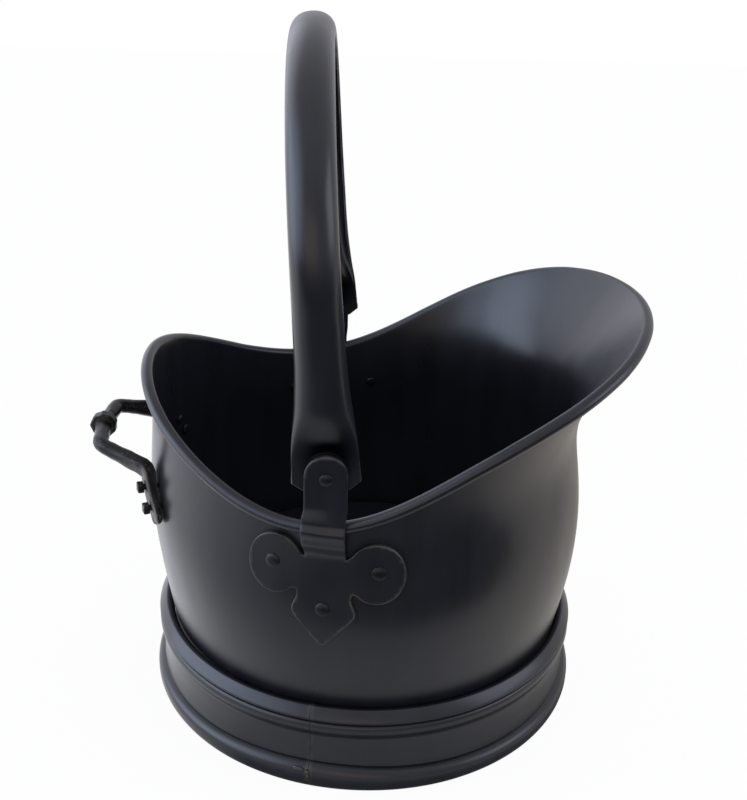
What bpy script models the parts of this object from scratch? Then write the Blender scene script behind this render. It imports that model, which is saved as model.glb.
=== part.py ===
"""Helmet-shaped log bucket: black sheet-steel body, pressed bail handle, forged rear handle.

Metres, +Z up. The spout points to +X and the bail turns about Y.
Run with: blender --background --python part.py
"""

import math

import bmesh
import bpy
from mathutils import Matrix, Vector

# Facets
AROUND = 52
WALL_STEPS = 7
CURL_STEPS = 7
WIRE_SIDES = 6
RIVET_SIDES = 10
SQUARE_SIDES = 8
HOLE_SIDES = 12
BAR_SIDES = 10
CHANNEL_STEPS = 10
ARCH_STEPS = 9
SHARP_ANGLE = math.radians(35)

# Fits
GAP = 0.0003
WIRE_GAP = 0.00035
SLIT_GAP = 0.0006
HOLE_GAP = 0.0003

# Sheet body
FLOOR_RADIUS = 0.1310
# How far the flats between the facets of the wall fall inside its true curve.
WALL_SAG = FLOOR_RADIUS * (1.0 - math.cos(math.pi / AROUND))
FLOOR_HEIGHT = 0.0500
SHEET = 0.0012
SPOUT_HEIGHT = 0.2684
# Nine equal steps from the spout (0) round to the back (180 degrees).
RIM_REACH_SHARES = (1.2954, 1.2863, 1.2374, 1.1099, 1.0443, 1.0366, 1.0580, 1.0885, 1.0863)
RIM_HEIGHT_SHARES = (1.0, 0.9866, 0.9277, 0.8115, 0.6982, 0.6692, 0.7262, 0.8111, 0.8472)
RIM_LEANS = (0.61, 0.60, 0.50, 0.25, 0.05, 0.0, -0.02, 0.01, 0.0)
WALL_FLARES = (0.229, 0.229, 0.229, 0.229, 0.229, 0.218, 0.206, 0.183, 0.183)
LOWER_PULL_SHARE = 0.629
UPPER_PULL_SHARE = 0.447
WALL_FOOT_SHARE = 0.88
WALL_BEND_SHARE = 1.04
RIM_WIRE_RADIUS = 0.00215

# Floor pan
PAN_CORNER = 0.0028
PAN_FLANGE = 0.0016

# Foot band
BAND_STANDOFF = 0.0087
BAND_LIP = 0.0032
LOWER_BEAD_BULGE = 0.0047
LOWER_BEAD_HEIGHT = 0.0175
LOWER_BEAD_CROWN_SHARE = 0.40
LOWER_BEAD_FOOT_SHARE = 0.25
# How far the upper side of the bead falls back, and how far up it does so.
LOWER_BEAD_FALL_SHARES = ((0.16, 0.36), (0.55, 0.68))
WAIST_DIP = 0.0007
RIDGE_BULGE = 0.0019
RIDGE_RADIUS = 0.0021
RIDGE_SPREAD_SHARE = 0.40
RIDGE_FOOT_SHARE = 1.30
UPPER_BEAD_BULGE = 0.0021
UPPER_BEAD_GAP = 0.0009
UPPER_BEAD_RISE_SHARE = 0.55
UPPER_BEAD_START = math.radians(-62)
UPPER_BEAD_END = math.radians(165)
BEAD_ARC_STEPS = 4

# Ears
EAR_ANGLE = math.radians(101.4)
PIVOT_RISE = 0.0347
EAR_SHEET = 0.0030
STRAP_HALF_WIDTH = 0.0120
STRAP_STANDOFF = 0.0014
STRAP_TOP = 0.0138
JOGGLE_START_DROP = 0.0192
JOGGLE_LENGTH = 0.0130
TWIST_START_RISE = 0.0072
TWIST_LENGTH = 0.0100
# The strap swells outwards where it passes the rim bead.
SWELL = 0.0022
SWELL_HALF_LENGTH = 0.0060
WALL_LIMIT_DROP = 0.0060
LOBE_OFFSET = 0.0292
LOBE_DROP = 0.0270
LOBE_HALF_WIDTH = 0.0167
LOBE_HALF_HEIGHT = 0.0186
LOBE_NOTCH_SHARE = 0.42
NECK_HALF_WIDTH = 0.0138
NECK_DROP = 0.0440
SHOULDER_HALF_WIDTH = 0.0193
POINT_DROP = 0.0748
# The pointed foot from the neck down: share of the shoulder's half width, share of the way to the point.
POINT_OUTLINE_SHARES = ((0.86, 0.14), (1.0, 0.27), (0.94, 0.35), (0.46, 0.67), (0.12, 0.96))
EAR_PLATE_ROW_SHARES = (0.86, 0.70, 0.54, 0.38)
EAR_COLUMN_SHARES = (-2.9, -1.95, -0.6, 0.6, 1.95, 2.9)
JOGGLE_ROW_SHARES = (0.0, 0.3, 0.5, 0.7, 1.0)
SWELL_ROW_SHARES = (-0.5, 0.0, 0.5)
TWIST_ROW_SHARES = (0.0, 0.5, 1.0)
LOBE_RIVET_OFFSET = 0.0308
LOBE_RIVET_DROP = 0.0262
POINT_RIVET_DROP = 0.0507

# Rivets
EAR_SHANK_RADIUS = 0.0020
EAR_HEAD_RADIUS = 0.0042
EAR_HEAD_HEIGHT = 0.0019
EAR_TAIL_RADIUS = 0.0036
EAR_TAIL_HEIGHT = 0.0014
PIVOT_SHANK_RADIUS = 0.0025
PIVOT_HEAD_RADIUS = 0.0042
PIVOT_HEAD_HEIGHT = 0.0028
PIVOT_TAIL_RADIUS = 0.0048
PIVOT_TAIL_HEIGHT = 0.0020
WASHER_RADIUS = 0.0070
WASHER_SHEET = 0.0010

# Bail handle
BAIL_LEAN = math.radians(-3.2)
BAIL_SHEET = 0.0016
BAIL_TOP = 0.2252
BAIL_SHOULDER = 0.1120
BAIL_SPREAD = 0.0114
BAIL_HALF_WIDTH = 0.0127
BAIL_CROWN_RISE = 0.0045
BAIL_CHANNEL_DEPTH = 0.0115
BAIL_CHANNEL_POWER = 2.4
DISH_RADIUS = 0.0165
DISH_BLEND = 0.0260
# Height above the pivot as a share of the shoulder's, and half width as a share of the channel's.
BAIL_WIDTH_SHARES = (
    (-0.072, 0.945),
    (-0.029, 1.441),
    (0.071, 1.449),
    (0.179, 1.402),
    (0.313, 1.260),
    (0.500, 1.110),
    (0.804, 1.016),
    (2.054, 1.0),
)
BAIL_LEG_SHARES = (-0.072, -0.029, 0.036, 0.089, 0.138, 0.183, 0.232, 0.286, 0.348, 0.429, 0.554, 0.768)
BAIL_SPREAD_START_SHARE = 0.138

# Rear handle
# The pads splay: angle from the back at their top and at their bottom.
REAR_TOP_ANGLE = math.radians(17.5)
REAR_BOTTOM_ANGLE = math.radians(24.6)
REAR_BAR_RADIUS = 0.0052
REAR_HALF_SPAN = 0.0295
REAR_REACH = 0.0322
# How far the bar's ends lie nearer to the wall than its collar.
REAR_BOW = 0.0030
REAR_BAR_HEIGHT = 0.1780
REAR_PAD_DROP = 0.0100
REAR_PAD_LENGTH = 0.0240
REAR_PAD_HALF_WIDTH = 0.0070
REAR_PAD_HALF_DEPTH = 0.0044
# Thickness of the pads' lower end as a share of that at their top.
REAR_PAD_TAPER_SHARE = 0.62
REAR_BEND_RADIUS = 0.0080
REAR_COLLAR_RADIUS = 0.0090
REAR_COLLAR_HALF_WIDTH = 0.0042
# Where the bolts and the rounded tip lie along the pads.
REAR_BOLT_SHARES = (("upper", 0.64), ("lower", 0.20))
REAR_TIP_SHARES = ((0.50, 0.50), (0.25, 0.86))
REAR_COLLAR_SHARES = ((1.35, 0.0), (1.0, 0.78), (0.7, 1.0), (0.0, 1.0))
REAR_FLAT_SHARES = (0.2, 1.6)
# Power of the pad's rounded-square section, where 2 is an ellipse.
REAR_PAD_POWER = 3.2
BOLT_SHANK_RADIUS = 0.0020
BOLT_HEAD_HALF = 0.0028
BOLT_HEAD_HEIGHT = 0.0038
BOLT_TAIL_RADIUS = 0.0034
BOLT_TAIL_HEIGHT = 0.0020
REAR_PAD_TOP = REAR_BAR_HEIGHT - REAR_PAD_DROP
REAR_PAD_BOTTOM = REAR_PAD_TOP - REAR_PAD_LENGTH
# Share of the head's radius and of its height, from the top down.
ROUND_HEAD_SHARES = ((0.55, 0.86), (0.88, 0.48), (1.0, 0.0))
SQUARE_HEAD_SHARES = ((0.86, 1.0), (1.0, 0.86), (1.0, 0.0))
TAIL_SHARES = (0.8, 0.75)

# Paint: colour, roughness, metallic
SATIN_BLACK = ((0.018, 0.019, 0.022), 0.42, 0.0)
INNER_BLACK = ((0.012, 0.013, 0.016), 0.55, 0.0)
FORGED_BLACK = ((0.028, 0.025, 0.023), 0.60, 0.2)
RIVET_BLACK = ((0.022, 0.022, 0.024), 0.38, 0.0)


def clear_scene():
    for obj in list(bpy.data.objects):
        bpy.data.objects.remove(obj, do_unlink=True)


def make_material(name, paint):
    colour, roughness, metallic = paint
    material = bpy.data.materials.new(name)
    material.use_nodes = True
    shader = material.node_tree.nodes["Principled BSDF"]
    shader.inputs["Base Color"].default_value = (*colour, 1.0)
    shader.inputs["Roughness"].default_value = roughness
    shader.inputs["Metallic"].default_value = metallic
    return material


def make_empty(name, parent=None, location=(0.0, 0.0, 0.0)):
    empty = bpy.data.objects.new(name, None)
    bpy.context.scene.collection.objects.link(empty)
    empty.parent = parent
    empty.location = location
    return empty


def make_object(name, points, faces, paint, parent):
    """A smooth-shaded mesh object with its faces turned outwards."""
    mesh = bpy.data.meshes.new(name)
    mesh.from_pydata([tuple(point) for point in points], [], faces)
    work = bmesh.new()
    work.from_mesh(mesh)
    bmesh.ops.recalc_face_normals(work, faces=work.faces)
    work.to_mesh(mesh)
    work.free()
    obj = bpy.data.objects.new(name, mesh)
    bpy.context.scene.collection.objects.link(obj)
    obj.parent = parent
    if paint:
        mesh.materials.append(make_material(name + "_paint", paint))
    mesh.set_sharp_from_angle(angle=SHARP_ANGLE)
    return obj


def loft(rings, closed=False, capped=True):
    """Points and faces of a skin through rings that each hold the same number of points."""
    count = len(rings[0])
    points = [point for ring in rings for point in ring]
    faces = []
    last = len(rings) if closed else len(rings) - 1
    for i in range(last):
        a = i * count
        b = (i + 1) % len(rings) * count
        for j in range(count):
            k = (j + 1) % count
            faces.append((a + j, a + k, b + k, b + j))
    if capped and not closed:
        faces.append(tuple(range(count)))
        faces.append(tuple(range(len(points) - count, len(points))))
    return points, faces


def spin(profile, placement, sides, square_rings=()):
    """A solid of revolution from (radius, height) pairs that start and end on the axis."""
    rings = []
    for index, (radius, height) in enumerate(profile):
        ring = []
        for step in range(sides):
            turn = math.tau * step / sides
            across = Vector((math.cos(turn), math.sin(turn), 0.0))
            if index in square_rings:
                across /= max(abs(across.x), abs(across.y))
            ring.append(placement @ Vector((radius * across.x, radius * across.y, height)))
        rings.append(ring)
    points = [placement @ Vector((0.0, 0.0, profile[0][1]))]
    faces = []
    inner = rings[1:-1]
    for ring in inner:
        points.extend(ring)
    points.append(placement @ Vector((0.0, 0.0, profile[-1][1])))
    for j in range(sides):
        k = (j + 1) % sides
        faces.append((0, 1 + j, 1 + k))
        for i in range(len(inner) - 1):
            a = 1 + i * sides
            b = a + sides
            faces.append((a + j, b + j, b + k, a + k))
        last = 1 + (len(inner) - 1) * sides
        faces.append((last + j, len(points) - 1, last + k))
    return points, faces


def axis_placement(centre, direction):
    """A frame at centre with its Z along direction and its X level."""
    z_axis = direction.normalized()
    x_axis = Vector((0.0, 0.0, 1.0)).cross(z_axis).normalized()
    y_axis = z_axis.cross(x_axis)
    turn = Matrix((x_axis, y_axis, z_axis)).transposed().to_4x4()
    return Matrix.Translation(centre) @ turn


def drill(target, places, radius, reach):
    """Cuts one round hole through target at each placement."""
    points = []
    faces = []
    for placement in places:
        profile = ((0.0, -reach), (radius, -reach), (radius, reach), (0.0, reach))
        more_points, more_faces = spin(profile, placement, HOLE_SIDES)
        faces.extend(tuple(len(points) + corner for corner in face) for face in more_faces)
        points.extend(more_points)
    cutter = make_object(target.name + "_holes", points, faces, None, target.parent)
    cutter.hide_render = True
    cutter.display_type = "WIRE"
    cutter.hide_set(True)
    cut = target.modifiers.new("rivet holes", "BOOLEAN")
    cut.object = cutter
    cut.operation = "DIFFERENCE"
    cut.solver = "EXACT"


def cosine_series(values):
    """Terms of the even smooth curve that passes through equally spaced values from 0 to 180 degrees."""
    steps = len(values) - 1
    terms = []
    for order in range(steps + 1):
        total = 0.0
        for index, value in enumerate(values):
            weight = 0.5 if index in (0, steps) else 1.0
            total += weight * value * math.cos(math.pi * index * order / steps)
        total *= 2.0 / steps
        terms.append(total / 2.0 if order in (0, steps) else total)
    return terms


def evaluate(terms, angle):
    return sum(term * math.cos(order * angle) for order, term in enumerate(terms))


REACH_TERMS = cosine_series(RIM_REACH_SHARES)
HEIGHT_TERMS = cosine_series(RIM_HEIGHT_SHARES)
LEAN_TERMS = cosine_series(RIM_LEANS)
FLARE_TERMS = cosine_series(WALL_FLARES)
CURL_RADIUS = RIM_WIRE_RADIUS + WIRE_GAP + SHEET / 2
CURL_END = math.tau - math.acos(1.0 - (SHEET + SLIT_GAP) / CURL_RADIUS)
ANGLE_STEP = math.radians(0.5)


def rim_centre(angle):
    """Centre line of the rim wire at this angle from the spout."""
    reach = FLOOR_RADIUS * evaluate(REACH_TERMS, angle)
    height = SPOUT_HEIGHT * evaluate(HEIGHT_TERMS, angle)
    return Vector((reach * math.cos(angle), reach * math.sin(angle), height))


def rim_frame(angle):
    """Rim centre, outward direction and upward direction across the rim."""
    along = (rim_centre(angle + ANGLE_STEP) - rim_centre(angle - ANGLE_STEP)).normalized()
    lean = evaluate(LEAN_TERMS, angle)
    level = Vector((math.cos(angle), math.sin(angle), 0.0))
    wall_up = level * math.sin(lean) + Vector((0.0, 0.0, math.cos(lean)))
    outward = along.cross(wall_up).normalized()
    return rim_centre(angle), outward, outward.cross(along)


def wall_curve(angle):
    """Four control points of the wall between the floor and the rim curl."""
    level = Vector((math.cos(angle), math.sin(angle), 0.0))
    centre, outward, _ = rim_frame(angle)
    start = level * FLOOR_RADIUS + Vector((0.0, 0.0, FLOOR_HEIGHT * WALL_BEND_SHARE))
    end = centre - outward * CURL_RADIUS
    height = end.z - start.z
    flare = math.tan(evaluate(FLARE_TERMS, angle))
    lean = math.tan(evaluate(LEAN_TERMS, angle))
    first = start + (level * flare + Vector((0.0, 0.0, 1.0))) * height * LOWER_PULL_SHARE
    second = end - (level * lean + Vector((0.0, 0.0, 1.0))) * height * UPPER_PULL_SHARE
    return start, first, second, end


def wall_at(angle, share):
    a, b, c, d = wall_curve(angle)
    rest = 1.0 - share
    return a * rest**3 + b * 3 * share * rest**2 + c * 3 * share**2 * rest + d * share**3


def wall_share(angle, height):
    """How far up the wall curve this height lies."""
    low = 0.0
    high = 1.0
    for _ in range(30):
        middle = (low + high) / 2
        if wall_at(angle, middle).z < height:
            low = middle
        else:
            high = middle
    return (low + high) / 2


def wall_spot(angle, height):
    """Centre-line point of the wall at an angle and height, and its outward normal."""
    share = min(max(wall_share(angle, height), ANGLE_STEP), 1.0 - ANGLE_STEP)
    up = wall_at(angle, share + ANGLE_STEP) - wall_at(angle, share - ANGLE_STEP)
    along = wall_at(angle + ANGLE_STEP, share) - wall_at(angle - ANGLE_STEP, share)
    return wall_at(angle, share), along.cross(up).normalized()


def sheet_section(angle):
    """Centre line of the sheet in one upright slice: foot, wall, then the curl over the rim wire."""
    level = Vector((math.cos(angle), math.sin(angle), 0.0))
    foot = level * FLOOR_RADIUS + Vector((0.0, 0.0, FLOOR_HEIGHT * WALL_FOOT_SHARE))
    line = [foot]
    for step in range(WALL_STEPS):
        line.append(wall_at(angle, step / WALL_STEPS))
    centre, outward, upward = rim_frame(angle)
    for step in range(CURL_STEPS + 1):
        turn = CURL_END * step / CURL_STEPS
        line.append(centre + CURL_RADIUS * (upward * math.sin(turn) - outward * math.cos(turn)))
    return line


def thicken(lines, thickness):
    """Closed rings round open sheet lines, half the thickness to each side."""
    rings = []
    count = len(lines)
    for i, line in enumerate(lines):
        outer = []
        inner = []
        for j, point in enumerate(line):
            along = lines[(i + 1) % count][j] - lines[i - 1][j]
            before = line[max(j - 1, 0)]
            after = line[min(j + 1, len(line) - 1)]
            normal = along.cross(after - before).normalized()
            outer.append(point + normal * thickness / 2)
            inner.append(point - normal * thickness / 2)
        rings.append(outer + inner[::-1])
    return rings


def turns(count):
    return [math.tau * step / count for step in range(count)]


def make_body_shell(parent):
    rings = thicken([sheet_section(angle) for angle in turns(AROUND)], SHEET)
    points, faces = loft(rings, closed=True)
    return make_object("body_shell", points, faces, SATIN_BLACK, parent)


def make_rim_wire(parent):
    rings = []
    for angle in turns(AROUND):
        centre, outward, upward = rim_frame(angle)
        ring = []
        for turn in turns(WIRE_SIDES):
            ring.append(centre + RIM_WIRE_RADIUS * (upward * math.sin(turn) - outward * math.cos(turn)))
        rings.append(ring)
    points, faces = loft(rings, closed=True)
    return make_object("rim_wire", points, faces, RIVET_BLACK, parent)


def make_floor_pan(parent):
    outer = FLOOR_RADIUS - SHEET / 2 - GAP
    flat = outer - PAN_CORNER
    top = FLOOR_HEIGHT + SHEET / 2
    foot = top - PAN_CORNER - PAN_FLANGE
    inside = PAN_CORNER - SHEET
    profile = [(0.0, top), (flat, top)]
    for turn in (math.radians(45), math.radians(90)):
        profile.append((flat + PAN_CORNER * math.sin(turn), top - PAN_CORNER * (1.0 - math.cos(turn))))
    profile.append((outer, foot))
    profile.append((outer - SHEET, foot))
    for turn in (math.radians(90), math.radians(45)):
        profile.append((flat + inside * math.sin(turn), top - SHEET - inside * (1.0 - math.cos(turn))))
    profile.append((flat, top - SHEET))
    profile.append((0.0, top - SHEET))
    points, faces = spin(profile, Matrix.Identity(4), AROUND)
    return make_object("floor_pan", points, faces, INNER_BLACK, parent)


def band_line():
    """(radius, height) centre line of the foot band, from the turned-in foot to the top bead."""
    waist = FLOOR_RADIUS + BAND_STANDOFF
    half = SHEET / 2
    middle = LOWER_BEAD_HEIGHT * LOWER_BEAD_CROWN_SHARE
    foot = LOWER_BEAD_BULGE * LOWER_BEAD_FOOT_SHARE
    line = [(waist - BAND_LIP, half), (waist, half), (waist + foot, half)]
    for turn in (math.radians(45), math.radians(90)):
        across = foot + (LOWER_BEAD_BULGE - foot) * math.sin(turn)
        line.append((waist + across, middle - (middle - half) * math.cos(turn)))
    for fall, climb in LOWER_BEAD_FALL_SHARES:
        line.append((waist + LOWER_BEAD_BULGE * (1.0 - fall), middle + (LOWER_BEAD_HEIGHT - middle) * climb))
    line.append((waist, LOWER_BEAD_HEIGHT))
    inner = FLOOR_RADIUS + SHEET + UPPER_BEAD_GAP
    radius = (waist + UPPER_BEAD_BULGE - inner) / (1.0 - math.cos(UPPER_BEAD_END))
    centre = waist + UPPER_BEAD_BULGE - radius
    top = FLOOR_HEIGHT + radius * UPPER_BEAD_RISE_SHARE
    ridge = top - radius - RIDGE_RADIUS * RIDGE_FOOT_SHARE
    line.append((waist - WAIST_DIP, (LOWER_BEAD_HEIGHT + ridge) / 2))
    line.append((waist, ridge - RIDGE_RADIUS * RIDGE_FOOT_SHARE))
    line.append((waist + RIDGE_BULGE, ridge - RIDGE_RADIUS * RIDGE_SPREAD_SHARE))
    line.append((waist + RIDGE_BULGE, ridge + RIDGE_RADIUS * RIDGE_SPREAD_SHARE))
    for step in range(BEAD_ARC_STEPS + 1):
        turn = UPPER_BEAD_START + (UPPER_BEAD_END - UPPER_BEAD_START) * step / BEAD_ARC_STEPS
        line.append((centre + radius * math.cos(turn), top + radius * math.sin(turn)))
    return line


def make_foot_band(parent):
    lines = []
    for angle in turns(AROUND):
        level = Vector((math.cos(angle), math.sin(angle), 0.0))
        lines.append([level * radius + Vector((0.0, 0.0, height)) for radius, height in band_line()])
    points, faces = loft(thicken(lines, SHEET), closed=True)
    return make_object("foot_band", points, faces, SATIN_BLACK, parent)


def pivot_centre():
    """Where the bail's axis meets the mirror plane."""
    rim = rim_centre(EAR_ANGLE)
    return Vector((rim.x, 0.0, rim.z + PIVOT_RISE))


def strap_face():
    """Distance from the mirror plane to the strap's inner face beside the pivot."""
    return rim_centre(EAR_ANGLE).y + CURL_RADIUS + SHEET / 2 + STRAP_STANDOFF


def smooth_step(low, high, value):
    share = min(max((value - low) / (high - low), 0.0), 1.0)
    return share * share * (3.0 - 2.0 * share)


def ear_wall_angle(across):
    """Angle on the right-hand wall for a distance across the ear plate."""
    return -EAR_ANGLE + across / (FLOOR_RADIUS * evaluate(REACH_TERMS, EAR_ANGLE))


def ear_point(across, height, depth):
    """Places a point of the flat ear plate on the right-hand wall, over the rim bead and up the strap."""
    rim_height = rim_centre(EAR_ANGLE).z
    limit = rim_height - WALL_LIMIT_DROP
    spot, normal = wall_spot(ear_wall_angle(across), min(height, limit))
    point = spot + normal * (SHEET / 2 + GAP + depth)
    point.z += max(height - limit, 0.0)
    if abs(across) < (STRAP_HALF_WIDTH + NECK_HALF_WIDTH) / 2:
        start = rim_height - JOGGLE_START_DROP
        bead = 2 * CURL_RADIUS + GAP
        level = Vector((normal.x, normal.y, 0.0)).normalized()
        point += level * bead * smooth_step(start, start + JOGGLE_LENGTH, height)
        point += level * SWELL * (1.0 - smooth_step(0.0, SWELL_HALF_LENGTH, abs(height - rim_height)))
    strap = Vector((pivot_centre().x + across, -strap_face() - depth, height))
    twist = rim_height + TWIST_START_RISE
    return point.lerp(strap, smooth_step(twist, twist + TWIST_LENGTH, height))


def ear_outline():
    """(across, height) outline of the strap and its three-lobed plate."""
    rim_height = rim_centre(EAR_ANGLE).z
    right = []
    crown = rim_height + PIVOT_RISE + STRAP_TOP - STRAP_HALF_WIDTH
    for turn in (90, 66, 44, 22, 0):
        turn = math.radians(turn)
        right.append((STRAP_HALF_WIDTH * math.cos(turn), crown + STRAP_HALF_WIDTH * math.sin(turn)))
    lobe = rim_height - LOBE_DROP
    right.append((STRAP_HALF_WIDTH, lobe + LOBE_HALF_HEIGHT * LOBE_NOTCH_SHARE))
    for turn in range(158, -180, -24):
        turn = math.radians(turn)
        across = LOBE_OFFSET + LOBE_HALF_WIDTH * math.cos(turn)
        if across > NECK_HALF_WIDTH + SHEET:
            right.append((across, lobe + LOBE_HALF_HEIGHT * math.sin(turn)))
    right.append((NECK_HALF_WIDTH, rim_height - NECK_DROP))
    for width, way in POINT_OUTLINE_SHARES:
        drop = NECK_DROP + (POINT_DROP - NECK_DROP) * way
        right.append((SHOULDER_HALF_WIDTH * width, rim_height - drop))
    right.append((0.0, rim_height - POINT_DROP))
    left = [(-across, height) for across, height in right[1:-1]]
    return right + left[::-1]


def make_ear(name, side, parent):
    """side is -1 for the right-hand ear and 1 for the left-hand one."""
    outline = ear_outline()
    work = bmesh.new()
    lower = [work.verts.new((across, 0.0, height)) for across, height in outline]
    upper = [work.verts.new((across, EAR_SHEET, height)) for across, height in outline]
    work.faces.new(lower)
    work.faces.new(upper[::-1])
    for j in range(len(outline)):
        k = (j + 1) % len(outline)
        work.faces.new((lower[j], upper[j], upper[k], lower[k]))
    rim_height = rim_centre(EAR_ANGLE).z
    joggle = rim_height - JOGGLE_START_DROP
    twist = rim_height + TWIST_START_RISE
    heights = [rim_height - POINT_DROP * share for share in EAR_PLATE_ROW_SHARES]
    heights += [joggle + JOGGLE_LENGTH * share for share in JOGGLE_ROW_SHARES]
    heights += [rim_height + SWELL_HALF_LENGTH * share for share in SWELL_ROW_SHARES]
    heights += [twist + TWIST_LENGTH * share for share in TWIST_ROW_SHARES]
    cuts = [((0.0, 0.0, height), (0.0, 0.0, 1.0)) for height in heights]
    cuts += [((STRAP_HALF_WIDTH * share, 0.0, 0.0), (1.0, 0.0, 0.0)) for share in EAR_COLUMN_SHARES]
    for place, normal in cuts:
        geometry = work.verts[:] + work.edges[:] + work.faces[:]
        bmesh.ops.bisect_plane(work, geom=geometry, dist=1e-7, plane_co=place, plane_no=normal)
    points = []
    for vert in work.verts:
        point = ear_point(vert.co.x, vert.co.z, vert.co.y)
        points.append((point.x, -side * point.y, point.z))
    work.verts.index_update()
    faces = [tuple(vert.index for vert in face.verts) for face in work.faces]
    work.free()
    return make_object(name, points, faces, SATIN_BLACK, parent)


def mirror_side(vector, side):
    return Vector((vector.x, -side * vector.y, vector.z))


def ear_rivet_places(side):
    """Placement of each rivet through the ear plate, with its origin on the wall's centre line."""
    rim_height = rim_centre(EAR_ANGLE).z
    spots = (
        ("front", LOBE_RIVET_OFFSET, rim_height - LOBE_RIVET_DROP),
        ("rear", -LOBE_RIVET_OFFSET, rim_height - LOBE_RIVET_DROP),
        ("point", 0.0, rim_height - POINT_RIVET_DROP),
    )
    places = []
    for label, across, height in spots:
        spot, normal = wall_spot(ear_wall_angle(across), height)
        places.append((label, axis_placement(mirror_side(spot, side), mirror_side(normal, side))))
    return places


def make_rivet(name, placement, grip, shank, head, tail, paint, parent, square=False):
    """grip is (inner face, outer face); head and tail are (radius, height)."""
    base = grip[1] + GAP
    under = grip[0] - GAP
    sides = SQUARE_SIDES if square else RIVET_SIDES
    shares = SQUARE_HEAD_SHARES if square else ROUND_HEAD_SHARES
    profile = [(0.0, base + head[1])]
    profile += [(head[0] * across, base + head[1] * up) for across, up in shares]
    square_rings = range(len(profile)) if square else ()
    profile += [(shank, base), (shank, under), (tail[0], under)]
    profile += [(tail[0] * TAIL_SHARES[0], under - tail[1] * TAIL_SHARES[1]), (0.0, under - tail[1])]
    points, faces = spin(profile, placement, sides, square_rings)
    return make_object(name, points, faces, paint, parent)


def make_ear_rivets(label, side, parent):
    for spot, placement in ear_rivet_places(side):
        grip = (-SHEET / 2 - WALL_SAG, SHEET / 2 + GAP + EAR_SHEET)
        head = (EAR_HEAD_RADIUS, EAR_HEAD_HEIGHT)
        tail = (EAR_TAIL_RADIUS, EAR_TAIL_HEIGHT)
        name = f"{label}_rivet_{spot}"
        make_rivet(name, placement, grip, EAR_SHANK_RADIUS, head, tail, RIVET_BLACK, parent)


def pivot_placement(side):
    return axis_placement(pivot_centre() + Vector((0.0, side * strap_face(), 0.0)), Vector((0.0, side, 0.0)))


def make_pivot(label, side, parent):
    """The rivet that the bail turns on, and the washer inside the bail."""
    placement = pivot_placement(side)
    inside = -GAP - BAIL_SHEET - GAP - WASHER_SHEET
    head = (PIVOT_HEAD_RADIUS, PIVOT_HEAD_HEIGHT)
    tail = (PIVOT_TAIL_RADIUS, PIVOT_TAIL_HEIGHT)
    name = f"pivot_rivet_{label}"
    make_rivet(name, placement, (inside, EAR_SHEET), PIVOT_SHANK_RADIUS, head, tail, RIVET_BLACK, parent)
    rings = []
    bore = PIVOT_SHANK_RADIUS + HOLE_GAP
    top = inside + WASHER_SHEET
    section = ((bore, inside), (WASHER_RADIUS, inside), (WASHER_RADIUS, top), (bore, top))
    for turn in turns(HOLE_SIDES):
        across = Vector((math.cos(turn), math.sin(turn), 0.0))
        ring = []
        for radius, height in section:
            ring.append(placement @ (across * radius + Vector((0.0, 0.0, height))))
        rings.append(ring)
    points, faces = loft(rings, closed=True)
    make_object(f"pivot_washer_{label}", points, faces, RIVET_BLACK, parent)


def between(table, value):
    """Linear reading of a table of (value, result) pairs."""
    for (low, first), (high, second) in zip(table, table[1:]):
        if value <= high:
            share = max((value - low) / (high - low), 0.0)
            return first + (second - first) * share
    return table[-1][1]


def bail_half_path():
    """Places on the left half of the bail's outer face, from end to top, each with its outward direction."""
    face = strap_face() - GAP
    reach = face + BAIL_SPREAD - BAIL_CROWN_RISE
    rise = BAIL_TOP - BAIL_CROWN_RISE - BAIL_SHOULDER
    path = []
    for share in BAIL_LEG_SHARES:
        climb = max(share - BAIL_SPREAD_START_SHARE, 0.0) / (1.0 - BAIL_SPREAD_START_SHARE)
        path.append((face + (reach - face) * climb * climb * (3.0 - climb) / 2, BAIL_SHOULDER * share))
    for step in range(ARCH_STEPS + 1):
        turn = math.pi / 2 * step / ARCH_STEPS
        path.append((reach * math.cos(turn), BAIL_SHOULDER + rise * math.sin(turn)))
    full = []
    for index, (span, height) in enumerate(path):
        before = path[max(index - 1, 0)]
        after = path[min(index + 1, len(path) - 1)]
        along = Vector((after[0] - before[0], after[1] - before[1])).normalized()
        if index == len(path) - 1:
            along = Vector((-1.0, 0.0))
        full.append((Vector((0.0, span, height)), Vector((0.0, along.y, -along.x))))
    return full


def channel_offset(share):
    """Inward drop of the pressed channel across its width, with share from -1 to 1."""
    return 1.0 - (1.0 - abs(share) ** BAIL_CHANNEL_POWER) ** (1.0 / BAIL_CHANNEL_POWER)


def bail_ring(spot, outward):
    """Closed section of the bail: its outer face, then its inner face back."""
    half_width = BAIL_HALF_WIDTH * between(BAIL_WIDTH_SHARES, spot.z / BAIL_SHOULDER)
    line = []
    for step in range(CHANNEL_STEPS + 1):
        share = math.sin(math.pi / 2 * (2.0 * step / CHANNEL_STEPS - 1.0))
        across = half_width * share
        reach = math.hypot(across, spot.z)
        if spot.z < 0.0:
            blend = 0.0
        else:
            blend = smooth_step(DISH_RADIUS, DISH_RADIUS + DISH_BLEND, reach)
        lift = blend * (BAIL_CROWN_RISE - BAIL_CHANNEL_DEPTH * channel_offset(share))
        line.append(Vector((across, lift)))
    outer = []
    inner = []
    for index, point in enumerate(line):
        after = line[min(index + 1, len(line) - 1)]
        before = line[max(index - 1, 0)]
        along = (after - before).normalized()
        inward = Vector((along.y, -along.x)) * BAIL_SHEET
        outer.append(spot + Vector((point.x, 0.0, 0.0)) + outward * point.y)
        under = point + inward
        inner.append(spot + Vector((under.x, 0.0, 0.0)) + outward * under.y)
    return outer + inner[::-1]


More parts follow.
